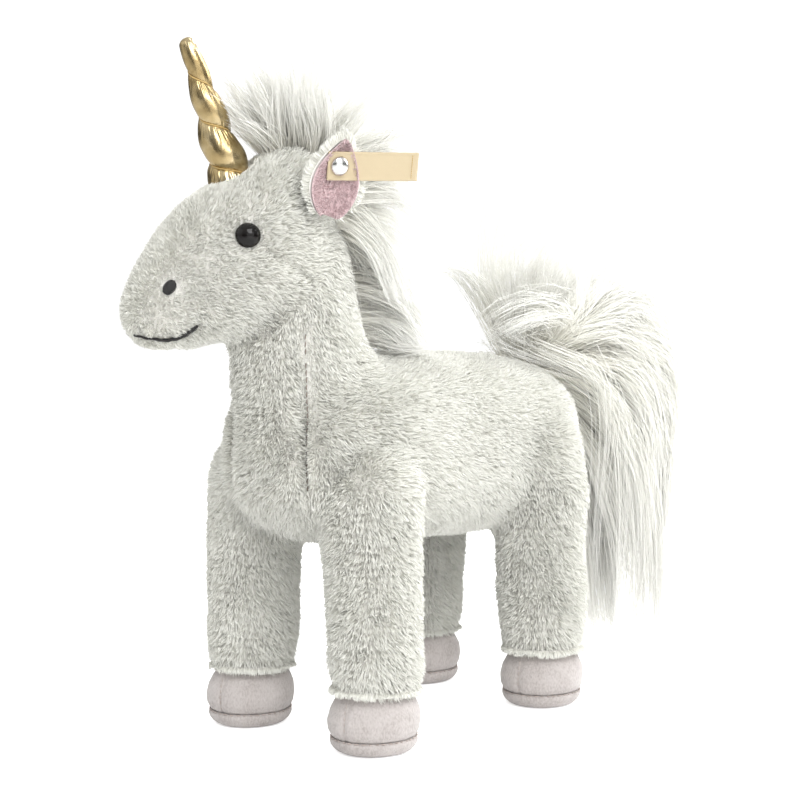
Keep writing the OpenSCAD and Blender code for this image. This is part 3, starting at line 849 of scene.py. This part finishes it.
for eye in EYES:
    lift *= 0.50 + 0.50 * smooth_step(distance_to([eye]), 4.0, 7.5)
for nostril in NOSTRILS:
    lift *= 0.10 + 0.90 * smooth_step(distance_to([nostril]), 2.6, 4.6)
lift *= 0.42 + 0.58 * smooth_step(distance_to(MOUTH), 0.7, 2.2)
lift *= 0.15 + 0.85 * smooth_step(distance_to([HORN_FOOT + [0, 0, 3]]), 7.0, 11.0)
lift *= 1 - 0.80 * chest_seam(roots) - 0.35 * cheek_dart(roots)
keep = roots[:, 2] > HEM_Z - 0.2
keep &= distance_to(EYES[:1]) > 4.0
keep &= distance_to(EYES[1:]) > 4.0
for region in sorted(set(names)):
    chosen = (names == region) & keep
    add_fur(region + "_pile", region, roots[chosen], normals[chosen], length=PILE, width=FUR_WIDTH,
            lean=flow[chosen], seed=100, lift=lift[chosen])
for region, piece in split_skin(body).items():
    settle(piece, region, M_SKIN)
    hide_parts(*REPLACED[region])


def seam_threads():
    """Sunken stitches down the two chest seams, on the torso and on the neck; their dark brown is partly the
    stitches' own and partly painted shade of the seam's groove.
    """
    for region, low, high in (("torso", 92, 121), ("neck_low", 123, 141), ("neck_up", 143.5, 151)):
        pieces = []
        for sign in (1, -1):
            for z in np.arange(low, high, 2.6):
                from_front = HOOVES * [1, 0, 0] + [0, NECK_BASE[1] - 60, 0]
                a, out = on_skin(from_front + [sign * CHEST_SEAM_X, 0, z], [0, 1, 0])
                b, _ = on_skin(from_front + [sign * (CHEST_SEAM_X + 0.2), 0, z + 2.0], [0, 1, 0])
                pieces.append(stitch(a + out * 0.5, b + out * 0.5, 0.24, out * 0.35))
        settle(gathered(region + "_seam", pieces), region, M_SEAM_SHADE)


seam_threads()


# ---------------------------------------------------------------- hooves
HOOF_COLS = 112
HEM_R = 14.6            # the turned hem's middle line, round the leg


def hoof_rings(heights, radii, top):
    """Rings of a hoof on its leg's axis: a little longer than wide, and full at the toe."""
    a = np.linspace(0, 2 * np.pi, HOOF_COLS, endpoint=False)
    toe = np.clip(-np.sin(a), 0, 1) ** 2
    rings = np.empty((len(heights), HOOF_COLS, 3))
    for i, (z, r) in enumerate(zip(heights, radii)):
        low = 1 - smooth_step(z, 8, 22)
        reach = r * (1 + 0.09 * toe * low)
        rings[i] = np.stack([top[0] + reach * np.cos(a), top[1] + reach * np.sin(a) * 1.02 - 0.4 * low,
                             np.full(HOOF_COLS, z)], -1)
    return rings


def pushed_out(rings, top, amount):
    """The rings with each point moved out from the leg's axis."""
    p = rings.reshape(-1, 3)
    return (p + unit((p - top) * [1, 1, 0]) * amount[:, None]).reshape(rings.shape)


def hoof_pieces(leg, top, seed):
    """The velour bulb with its front seam, the sole below it, and the thread in the seam between them."""
    heights = np.concatenate([np.linspace(5.6, 8, 8), np.linspace(8.6, 21, 26), np.linspace(22, HEM_Z + 4, 4)])
    radii = ramped(heights, (5.6, 13.9), (6.4, 15.1), (8.5, 16.1), (12, 16.5), (15.5, 16.0), (18.5, 14.6),
                   (21, 12.9), (HEM_Z + 4, 12.0))
    rings = hoof_rings(heights, radii, top)
    p = rings.reshape(-1, 3)
    front = np.exp(-(((p[:, 0] - top[0] - 1.0) / 0.9) ** 2)) * (p[:, 1] < top[1])
    front = front * (1 - smooth_step(p[:, 2], 18, 22))
    crease = (lattice_noise(p * [1, 1, 0.5], 6.0, seed)[:, 0] * 0.28
              + lattice_noise(p * [1, 1, 2.2], 8.0, seed + 1)[:, 0] * 0.22)
    bulb = closed_rings(leg + "_hoof_bulb", pushed_out(rings, top, crease - 0.75 * front))
    dress(bulb, M_VELOUR, leg, [leg + "_hoof", leg + "_beans"])

    heights = np.array([0.0, 0.0, 0.05, 0.35, 0.9, 1.8, 3.0, 4.2, 5.0, 5.5, 5.7])
    radii = np.array([5.0, 10.0, 11.2, 12.3, 13.3, 14.3, 15.1, 15.5, 15.4, 14.9, 14.2])
    rings = hoof_rings(heights, radii, top)
    p = rings.reshape(-1, 3)
    uneven = lattice_noise(p * [1, 1, 0.5], 6.0, seed)[:, 0] * 0.25 * (p[:, 2] > 0.3)
    sole = closed_rings(leg + "_sole_pad", pushed_out(rings, top, uneven))
    dress(sole, M_VELOUR, leg, [leg + "_sole"])

    pieces, count = [], 40
    seam = hoof_rings([5.65], [15.0], top)[0]
    for k in range(count):
        a0, a1 = 2 * np.pi * k / count, 2 * np.pi * (k + 0.62) / count
        start, end = [seam[int(a / (2 * np.pi) * HOOF_COLS) % HOOF_COLS] for a in (a0, a1)]
        out = unit((start - top) * [1, 1, 0])
        pieces.append(stitch(start, end, 0.26, out * 0.35))
    for z in np.arange(7.2, 19.0, 2.1):
        r = float(ramped(z, (5.6, 14.6), (8, 16.1), (12, 16.2), (16, 15.7), (19, 14.7)))
        foot = np.array([top[0] + 1.0, top[1] - r * 1.06 * 1.02 - 0.1, z])
        pieces.append(stitch(foot, foot + [0, 0.05, 1.4], 0.2, np.array([0, -0.2, 0])))
    dress(gathered(leg + "_hoof_seam", pieces), M_HOOF_SEAM, leg)


def hem_pieces(leg, top, k):
    """The turned hem over a hoof, with the pile that hangs from it."""
    cols, sides = 72, 8
    rim = circle(np.array([1.0, 0, 0]), np.array([0, 1.0, 0]), cols)
    line = top * [1, 1, 0] + HEM_R * rim + [0, 0, HEM_Z + 0.7]
    out = unit((line - top) * [1, 1, 0])
    ring = line[:, None] + 1.1 * circle(out[:, None], UP, sides)
    faces = grid_faces(cols + 1, sides, closed=True) % (cols * sides)
    dress(mesh_object(leg + "_hem", ring.reshape(-1, 3), faces), M_SKIN, leg)
    around = np.random.default_rng(400 + k).uniform(0, 2 * np.pi, 2600)
    edge = np.stack([np.cos(around), np.sin(around), np.zeros(len(around))], -1)
    edge_roots = top * [1, 1, 0] + edge * 15.3 + [0, 0, HEM_Z + 1.6]
    add_fur(leg + "_hem_pile", leg, edge_roots, edge, length=2.9, width=FUR_WIDTH,
            lean=np.tile([0.0, 0.0, -1.4], (len(edge), 1)), seed=420 + k)


M_HOOF_SEAM = fabric_material("hoof_seam", (0.52, 0.45, 0.42), (0.40, 0.34, 0.31), "hoof_velour",
                              roughness=0.8, sheen=0.1)
for k, (leg, top) in enumerate(LEGS.items()):
    hoof_pieces(leg, top, 300 + 10 * k)
    hem_pieces(leg, top, k)


# ---------------------------------------------------------------- the horn
HORN_LEN, HORN_TURNS, HORN_PHASE = 56.0, 3.4, 0.614
HORN_LEAN = math.radians(18)
HORN_UP = math.cos(HORN_LEAN) * UP + math.sin(HORN_LEAN) * HEAD_FORWARD
HORN_BACK = np.cross(HORN_UP, HEAD_LEFT)


def horn_radius(t):
    """The cone's radius, from its foot at 0 to its tip at 1."""
    return 8.3 + (2.7 - 8.3) * t


def horn_piece():
    """A stuffed foil cone wound with thread: full bulges between the turns, and gathers just below each turn."""
    rows, cols = 300, 220
    t = np.linspace(-0.05, 1, rows)[:, None]
    a = np.linspace(0, 2 * np.pi, cols, endpoint=False)[None, :]
    phase = t * HORN_TURNS + a / (2 * np.pi) + HORN_PHASE
    u = phase - np.floor(phase)
    bulge = np.sin(np.pi * u ** 1.12) ** 0.55
    shape = 0.69 + 0.39 * bulge
    below = np.exp(-((1 - u) / 0.26) ** 2) * (1 - np.exp(-((1 - u) / 0.05) ** 2))
    above = 0.45 * np.exp(-(u / 0.14) ** 2) * (1 - np.exp(-(u / 0.03) ** 2))
    wander = 0.7 * np.sin(2 * a + 5 * t) + 0.5 * np.sin(5 * a + 9 * t) + 1.6 * (1 - u)
    folds = np.sin(19 * a + wander * 2.2) + 0.6 * np.sin(31 * a - 2.0 * wander + 1.3)
    r = horn_radius(t) * shape * (1 + 0.026 * folds * (below + above))
    r = r * np.sqrt(1 - np.clip((t - 0.955) / 0.0452, 0, 1) ** 2)
    sway = 0.8 * np.sin(2 * np.pi * (t * HORN_TURNS + HORN_PHASE))
    centre = HORN_FOOT + HORN_LEN * t[..., None] * HORN_UP + (sway * (1 - t))[..., None] * HEAD_LEFT * 0.6
    pts = centre + (r * np.cos(a))[..., None] * HEAD_LEFT + (r * np.sin(a))[..., None] * HORN_BACK
    p = pts.reshape(-1, 3)
    out = unit(p - np.repeat(centre.reshape(rows, 3), cols, axis=0))
    p = p + out * (lattice_noise(p, 5.0, 71)[:, :1] * 0.22)
    return closed_rings("horn_foil", p.reshape(pts.shape))


def horn_winding():
    """The thread that draws the foil in, wound up the cone."""
    turns = np.linspace(0.03, 0.94, 320)
    a = 2 * np.pi * (4 - HORN_PHASE - turns * HORN_TURNS)
    r = horn_radius(turns) * 0.735 + 0.12
    sway = 0.8 * np.sin(2 * np.pi * (turns * HORN_TURNS + HORN_PHASE)) * (1 - turns) * 0.6
    line = (HORN_FOOT + np.outer(turns * HORN_LEN, HORN_UP) + np.outer(r * np.cos(a) + sway, HEAD_LEFT)
            + np.outer(r * np.sin(a), HORN_BACK))
    return mesh_object("horn_winding", *tube(line, 0.28))


horn = dress(horn_piece(), M_FOIL, "horn", ["horn_cover", "horn_stuffing"])
dress(horn_winding(), M_GOLD_THREAD, "horn", ["horn_thread"])


# ---------------------------------------------------------------- ears, rivet and tab
EAR_LEN = 29.0


def ear_grid(lift_out, shrink, rows=26, cols=21):
    """A cupped ear: pinched at the root, widest a third of the way up, and rolled in at its edges."""
    v = np.linspace(0, 1, rows)[:, None]
    s = np.linspace(-1, 1, cols)[None, :]
    narrowing = np.sqrt(np.clip(1 - v ** 5, 0, 1))
    wide = (9.4 - shrink) * (0.40 + 0.64 * np.sin(np.pi * v ** 0.78)) * narrowing + 0.15
    cup = (4.4 - 2.4 * v) * s ** 2 - 1.3 + 2.6 * (v - 0.35) ** 2
    up = 0.5 + (EAR_LEN - shrink) * v - 1.2 * s ** 2 * v
    return (EAR_ROOT + (cup + lift_out)[..., None] * EAR_OUT + (wide * s)[..., None] * EAR_ACROSS
            + up[..., None] * EAR_UP)


def ear_shell(name, inner, outer):
    """A closed thin shell between two grids of points."""
    rows, cols, _ = inner.shape
    quads = grid_faces(rows, cols)
    n = rows * cols
    rim = np.concatenate([np.arange(cols), np.arange(1, rows) * cols + cols - 1,
                          (rows - 1) * cols + np.arange(cols - 2, -1, -1), np.arange(rows - 2, 0, -1) * cols])
    after = np.roll(rim, -1)
    side = np.stack([rim, rim + n, after + n, after], -1)
    return mesh_object(name, np.vstack([inner.reshape(-1, 3), outer.reshape(-1, 3)]),
                       np.vstack([quads[:, ::-1], quads + n, side[:, ::-1]]))


def soften(ob):
    fine = ob.modifiers.new("fine", "SUBSURF")
    fine.levels = fine.render_levels = 1
    return apply_modifiers(ob)


def roots_on(points, per_mm2, seed, out):
    """Random roots over a grid of points, with normals on the side that out points to."""
    sheet = mesh_object("grown", points.reshape(-1, 3), grid_faces(*points.shape[:2]))
    roots, normals = scatter(sheet, per_mm2, seed)
    bpy.data.objects.remove(sheet)
    return roots, normals * np.sign(row_dot(normals, out))


def ear_pieces(side):
    """An ear's back and lining, the pile on its back and round its rim, and the lining's short pink nap."""
    left = side == "left"
    flip = (lambda p: p) if left else mirrored
    out, ear_up = [v if left else mirrored(v, False) for v in (-EAR_OUT, EAR_UP)]
    ear = "ear_" + side
    for name, low, high, shrink, m, node in (("_lining", 0.25, 0.95, 0.7, M_SATIN, "_lining"),
                                             ("_back", -1.1, 0.05, 0.0, M_SKIN, "_outer")):
        ob = ear_shell(ear + name, flip(ear_grid(low, shrink)), flip(ear_grid(high, shrink)))
        if not left:
            ob.data.flip_normals()
        dress(soften(ob), m, ear, [ear + node])
    roots, normals = roots_on(flip(ear_grid(-1.1, 0.0)), FUR_DENSITY * 1.1, 500, out)
    edge = ear_grid(-0.6, 0.0)
    rim = flip(np.concatenate([edge[4:, 0], edge[-1], edge[4:, -1][::-1]]))
    pick = np.random.default_rng(510).uniform(0, len(rim) - 1.001, 1500)
    low = np.floor(pick).astype(int)
    rim_roots = rim[low] + (rim[low + 1] - rim[low]) * (pick - low)[:, None]
    rim_out = unit(rim_roots - rim.mean(0)) * 0.8 + out * 0.5
    roots = np.vstack([roots, rim_roots])
    normals = unit(np.vstack([normals, rim_out]))
    add_fur(ear + "_pile", ear, roots, normals, length=3.0, width=FUR_WIDTH,
            lean=np.tile(ear_up * 0.6, (len(roots), 1)), seed=520)
    roots, normals = roots_on(flip(ear_grid(0.95, 1.2)), FUR_DENSITY * 1.3, 530, -out)
    verts, tri, tone, along = grow_pile(roots, normals, length=0.8, width=0.34,
                                        lean=np.tile(ear_up * 0.8, (len(roots), 1)), seed=540, clump=1.5)
    nap = mesh_object(ear + "_nap", verts, tri)
    strand_uv(nap, tone, along)
    dress(nap, M_NAP, ear)


# the pink nap: its darker roots are painted shade down in the nap
M_NAP = strand_material("pink_nap", (0.52, 0.37, 0.39), (0.66, 0.50, 0.52), (0.78, 0.63, 0.64), "pink_satin",
                        sheen=0.3, tone=0.16)
for side in ("left", "right"):
    ear_pieces(side)

FACE_OUT = 0.6          # how far the lining's face stands out where the rivet goes through it
TAB_OUT = FACE_OUT + 0.75
TAB_BOW = 1.5
TAB_LEN, TAB_HALF_WIDTH = 35.0, 5.0
TAB_LEAD = 4.5          # how much of the tab lies on the other side of the rivet
HEM_RUN, HEM_U = 28.1, 0.933      # the hem's stitches: how far from the rivet, and the share of the length there


def tab_piece():
    """A plain ribbon folded to a tab: a slight bow along it, a turned hem at its end, and rounded selvedges."""
    box_low, box_high = box_mm("ribbon_tab")
    end = (box_low + box_high) / 2 - RIVET
    along = unit(end - EAR_OUT * (end @ EAR_OUT))
    across = np.cross(EAR_OUT, along)
    shape = rows, cols = 60, 22
    u = np.linspace(0, 1, rows)[:, None]
    v = np.linspace(-1, 1, cols)[None, :]
    run = -TAB_LEAD + TAB_LEN * u
    bow = TAB_BOW * np.sin(np.pi * u * 0.9) * u + 0.35 * np.sin(7 * u) * u
    edge = TAB_HALF_WIDTH * (1 - 0.006 * np.cos(40 * u))
    thick = 0.34 * (1 + 0.5 * (np.abs(v) > 0.9)) * np.ones_like(u) + 0.22 * smooth_step(u, 0.955, 0.965)
    middle = (RIVET + run[..., None] * along + (edge * v)[..., None] * across
              + (TAB_OUT + bow)[..., None] * EAR_OUT)
    half = thick[..., None] * EAR_OUT
    ob = ear_shell("ribbon_strip", middle - half, middle + half)
    uv = np.stack([np.broadcast_to(u, shape).ravel(), np.broadcast_to(v, shape).ravel() * 0.5 + 0.5], -1)
    lay_map(ob, "weave", np.tile(uv, (2, 1)))
    hem_out = TAB_OUT + TAB_BOW * math.sin(math.pi * HEM_U * 0.9) * HEM_U + 0.45
    pieces, count = [], 11
    for k in range(count):
        w = (k + 0.5) / count * 2 - 1
        at = RIVET + HEM_RUN * along + w * 4.2 * across + hem_out * EAR_OUT
        pieces.append(stitch(at - across * 0.28, at + across * 0.28, 0.13, EAR_OUT * 0.12))
    return ob, gathered("ribbon_hem", pieces)


tab, tab_hem = tab_piece()
dress(tab, M_RIBBON, "ribbon", ["ribbon_tab"])
dress(tab_hem, M_GOLD_THREAD, "ribbon")
dome = ((0.95, -3.2), (1.0, -0.24), (3.42, -0.22), (3.5, 0.0), (3.42, 0.28), (3.1, 0.74),
        (2.5, 1.24), (1.7, 1.66), (0.9, 1.88), (0.05, 1.95))
washer = ((1.02, 0.3), (3.0, 0.3), (3.25, 0.1), (3.25, -0.1), (3.0, -0.3), (1.02, -0.3))
for name, profile, out, node in (("rivet_dome", dome, FACE_OUT + 1.5, "ear_rivet"),
                                 ("rivet_washer", washer, -3.0, "ear_rivet_washer")):
    dress(spun(name, profile, RIVET + out * EAR_OUT, EAR_OUT, UP + 0.1 * HEAD_LEFT), M_METAL, "ear_left", [node])


# ---------------------------------------------------------------- long hair
def grow_guides(roots, directions, lengths, gravity, seed, keep_out, steps=8):
    """The middle lines of the locks: each starts its own way, bends under its weight and stays off the body."""
    p, d, line = roots.copy(), unit(directions), [roots.copy()]
    for k in range(steps):
        d = unit(d - gravity[:, None] * UP * (0.5 + k / steps) + lattice_noise(p, 20.0, seed) * 0.11
                 + lattice_noise(p, 7.0, seed + 1) * 0.07)
        moved = keep_out(p + d * (lengths / steps)[:, None])
        d = unit(moved - p)
        p = moved
        line.append(p)
    return np.stack(line, 1)


def add_hair(name, body_name, guides, spread, seed, replaces, width=0.30):
    """Tapered ribbons gathered round the guides: close at the tip of each lock, with a few that fly away."""
    rng = np.random.default_rng(seed)
    count, knots, _ = guides.shape
    g = np.repeat(np.arange(count), PER_LOCK)
    n = len(g)
    s = np.linspace(0, 1, knots)
    q = s[None] * rng.uniform(0.62, 1.0, n)[:, None] * (knots - 1)
    low = np.minimum(q.astype(int), knots - 2)
    f = (q - low)[..., None]
    line = guides[g[:, None], low] * (1 - f) + guides[g[:, None], low + 1] * f
    loose = np.where(rng.uniform(0, 1, n) < 0.14, rng.uniform(1.2, 2.6, n), rng.uniform(0.25, 0.75, n))
    taper = (1 - s)[None] * 1.0 + s[None] * loose[:, None] + 0.5 * np.sin(np.pi * s)[None]
    line = line + (rng.normal(0, 1, (n, 1, 3)) * spread) * taper[..., None]
    strayed = line.reshape(-1, 3) + np.repeat(rng.uniform(0, 3, (n, 1)), knots, axis=0)
    line = line + lattice_noise(strayed, 9.0, seed + 7).reshape(line.shape) * 0.9 * s[None, :, None]
    along = unit(line[:, -1] - line[:, 0])
    side = unit(np.cross(along, rng.normal(0, 1, (n, 3))))
    half = (width * rng.uniform(0.7, 1.25, n))[:, None] * (1 - 0.6 * s[None, :-1]) / 2
    left = line[:, :-1] - side[:, None] * half[..., None]
    right = line[:, :-1] + side[:, None] * half[..., None]
    verts = np.concatenate([np.stack([left, right], 2).reshape(n, -1, 3), line[:, -1:]], 1)
    each = verts.shape[1]
    k = np.arange(knots - 2) * 2
    strip = np.concatenate([np.stack([k, k + 1, k + 3], -1), np.stack([k, k + 3, k + 2], -1),
                            [[each - 3, each - 2, each - 1]]])
    tone = np.clip(rng.uniform(0, 1, count)[g] * 0.55 + rng.uniform(0, 0.45, n), 0, 1)
    v = np.concatenate([np.repeat(s[:-1], 2), [1.0]])
    most = TRIANGLES_A_PIECE // len(strip)
    for part, first in enumerate(range(0, n, most)):
        chosen = verts[first:first + most]
        faces = strip[None] + (np.arange(len(chosen)) * each)[:, None, None]
        ob = mesh_object(f"{name}_{part + 1}", chosen.reshape(-1, 3), faces.reshape(-1, 3))
        strand_uv(ob, tone[first:first + most], v)
        dress(ob, M_HAIR, body_name, replaces if part == 0 else ())


PER_LOCK = 42      # hairs in each lock
TRIANGLES_A_PIECE = 190000


def off_neck(p):
    """Holds hair off the neck and the back."""
    h = np.clip((p - NECK_BASE) @ NECK_AXIS, 0, NECK_LEN + 8)
    axis_point = NECK_BASE + h[:, None] * NECK_AXIS
    rel = p - axis_point
    far = np.linalg.norm(rel, axis=1)
    need = 27.5 - 3.5 * h / NECK_LEN
    p = np.where((far < need)[:, None], axis_point + unit(rel) * need[:, None], p)
    on_back = (p[:, 1] > NECK_BASE[1] + 20) & (p[:, 2] < 145)
    p[on_back, 2] = 145
    side = (p - NECK_TOP) @ HEAD_LEFT
    out = np.where((p[:, 2] > 176) & (p[:, 2] < 226), np.maximum(side - 14, 0), 0)
    return p - out[:, None] * HEAD_LEFT


def neck_mane():
    """The mane down the back of the neck, which hangs backwards."""
    rng = np.random.default_rng(600)
    count = 170
    z = 147 + 45 * rng.uniform(0, 1, count) ** 0.9
    x = rng.normal(0, 2.6, count)
    starts = np.array([on_skin(np.array([xi, NECK_BASE[1] + 62, zi]), [0, -1, 0])[0] for xi, zi in zip(x, z)])
    sideways = np.clip(x / 4 + rng.normal(0, 0.45, count), -1.2, 1.2)
    towards = np.stack([0.75 * sideways, np.full(count, 1.0), 0.35 + 0.15 * rng.normal(0, 1, count)], -1)
    lengths = 50 * rng.uniform(0.75, 1.15, count) * ramped(z, (147, 0.66), (165, 1.0), (192, 1.1))
    guides = grow_guides(starts, towards, lengths, np.full(count, 0.30), 610, off_neck)
    add_hair("neck_mane_hair", "neck", guides, 1.25, 620, ["neck_mane"])


def head_mane():
    """The forelock stands up from the poll and fans backwards into the mane."""
    rng = np.random.default_rng(640)
    count = 200
    u = rng.uniform(0, 1, count)
    across = rng.normal(0, 3.2, count)
    starts = []
    for ui, e in zip(u, across):
        if ui < 0.6:
            starts.append(on_skin(head_place(e, 5 - 20 * ui / 0.6, 262), -UP)[0])
        else:
            starts.append(on_skin(head_place(e, -60, 214 - 26 * (ui - 0.6) / 0.4), HEAD_FORWARD)[0])
    angle = np.radians(ramped(u, (0, -30), (0.3, 5), (0.6, 52), (1.0, 92)) + rng.normal(0, 9, count))
    sideways = across / 9 + rng.normal(0, 0.26, count)
    towards = np.outer(np.cos(angle), UP) - np.outer(np.sin(angle), HEAD_FORWARD) + np.outer(sideways, HEAD_LEFT)
    lengths = ramped(u, (0, 34), (0.3, 43), (0.6, 48), (1.0, 52)) * rng.uniform(0.72, 1.08, count)
    gravity = ramped(u, (0, 0.05), (0.5, 0.10), (1.0, 0.26))
    guides = grow_guides(np.array(starts), towards, lengths, gravity, 650, off_neck)
    add_hair("forelock_hair", "head", guides, 1.3, 660, ["forelock"])


def off_rump(p):
    """Holds the tail's hair behind the rump and above the ground."""
    limit = HOOVES[1] + ramped(p[:, 2], (55, 80), (80, 90), (122, 91), (140, 84), (152, -60))
    p[:, 1] = np.maximum(p[:, 1], limit)
    p[:, 2] = np.maximum(p[:, 2], 12)
    middle = HOOVES[0] + 6
    p[:, 0] = middle + 32 * np.tanh((p[:, 0] - middle) / 32)
    p[:, 1] = np.minimum(p[:, 1], TAIL_ROOT[1] + 78)
    return p


def tail_hair():
    """Long locks that hang, a short tuft that stands up at the root, and the stub that they grow from."""
    rng = np.random.default_rng(700)
    count = 340
    stub = TAIL_END - TAIL_ROOT
    axis = unit(stub)
    side = np.array([1.0, 0, 0])
    down_back = np.cross(axis, side)
    turn = rng.uniform(0, 2 * np.pi, count)
    h = rng.uniform(0.0, 1.25, count)
    radial = np.cos(turn)[:, None] * side + np.sin(turn)[:, None] * down_back
    starts = TAIL_ROOT + h[:, None] * stub + radial * 5.2
    towards = unit(radial * (1.25 - 0.5 * h)[:, None] + axis * (0.35 + 0.75 * h)[:, None]
                   + rng.normal(0, 0.16, (count, 3)))
    high = smooth_step(towards[:, 2], 0.35, 0.9)
    lengths = (188 - 134 * high) * rng.uniform(0.74, 1.08, count)
    gravity = 0.52 - 0.34 * high
    towards = towards * [0.55, 0.88, 1]
    guides = grow_guides(starts, towards, lengths, gravity, 710, off_rump)
    add_hair("tail_hair", "tail", guides, 1.9, 720, ["tail_pile"])
    stub_skin = capsule("tail_stub_skin", TAIL_ROOT - 3 * axis, TAIL_END, 5.6, 5.2)
    dress(stub_skin, M_SKIN, "tail_stub", ["tail_root"])


# the neck's stuffed core, which backs the gap that opens in the throat's skin when the head turns
neck_core = capsule("neck_core", NECK_BASE + 8 * NECK_AXIS, NECK_TOP - 6 * NECK_AXIS, 21.5, 20.0)
dress(neck_core, M_SKIN, "neck")
neck_mane()
head_mane()
tail_hair()
bpy.data.objects.remove(body)


# ---------------------------------------------------------------- camera, floor and light
AZIMUTH, ELEVATION = math.radians(41.8), math.radians(2.7)
DISTANCE, LENS = 657.2, 75.7
AIM = HOOVES + [-1.8, -1.6, 126.0]


LAMPS = (("key", (760, -420, 900), 0.7, 7.2), ("fill", (-420, -820, 520), 0.9, 1.2),
         ("front", (860, -420, 340), 0.9, 2.7), ("rim", (420, 900, 700), 0.8, 10.0),
         ("back", (-620, 700, 520), 0.9, 5.0))      # name, place, size in metres and power in watts


def add_to_scene(name, data, place_mm, target_mm):
    """A camera or lamp at a place, pointed at another."""
    ob = bpy.data.objects.new(name, data)
    ob.location = place_mm * MM
    ob.rotation_euler = (Vector(target_mm * MM) - ob.location).to_track_quat("-Z", "Y").to_euler()
    SCENE.collection.objects.link(ob)
    return ob


def set_camera():
    toward = np.array([math.cos(ELEVATION) * math.sin(AZIMUTH), -math.cos(ELEVATION) * math.cos(AZIMUTH),
                       math.sin(ELEVATION)])
    lens = bpy.data.cameras.new("camera")
    lens.lens = LENS
    lens.clip_start = 0.01
    SCENE.camera = add_to_scene("camera", lens, AIM + DISTANCE * toward, AIM)
    SCENE.view_settings.view_transform = "Standard"


def set_floor():
    """A wide pale floor, which the camera sees a little brighter than the lamps make it."""
    far = 6000
    corners = [[-far, -far, 0], [far, -far, 0], [far, far, 0], [-far, far, 0]]
    floor = mesh_object("floor", corners, [[0, 1, 2, 3]])
    pale = bpy.data.materials.new("floor_pale")
    pale.use_nodes = True
    nt = pale.node_tree
    seen = add_node(nt, "LightPath").outputs["Is Camera Ray"]
    glow = add_node(nt, "Math", {0: seen, 1: 0.62}, operation="MULTIPLY").outputs[0]
    fill_inputs(nt, nt.nodes["Principled BSDF"], {
        "Base Color": (0.97, 0.97, 0.97, 1), "Roughness": 0.9, "Emission Color": (1, 1, 1, 1),
        "Emission Strength": glow})
    floor.data.materials.append(pale)


def set_light():
    """The lamps, in a studio that the camera sees as white and that lights the toy in bands."""
    world = bpy.data.worlds.new("studio")
    SCENE.world = world
    world.use_nodes = True
    nt = world.node_tree
    around = add_node(nt, "TexCoord").outputs["Generated"]
    height = add_node(nt, "SeparateXYZ", {0: around}).outputs["Z"]
    tone = ramp(nt, height, [(0.0, (0.32, 0.32, 0.31)), (0.10, (0.05, 0.05, 0.05)), (0.40, (0.52, 0.52, 0.51)),
                             (1.0, (0.70, 0.70, 0.69))])
    seen = add_node(nt, "LightPath").outputs["Is Camera Ray"]
    fill_inputs(nt, nt.nodes["Background"], {"Color": mixed(nt, seen, tone, (1.0, 1.0, 1.0)), "Strength": 1.12})
    for name, place, size, power in LAMPS:
        lamp = bpy.data.lights.new(name, "AREA")
        lamp.size = size
        lamp.energy = power
        add_to_scene(name, lamp, np.array(place), AIM)


set_camera()
set_floor()
set_light()
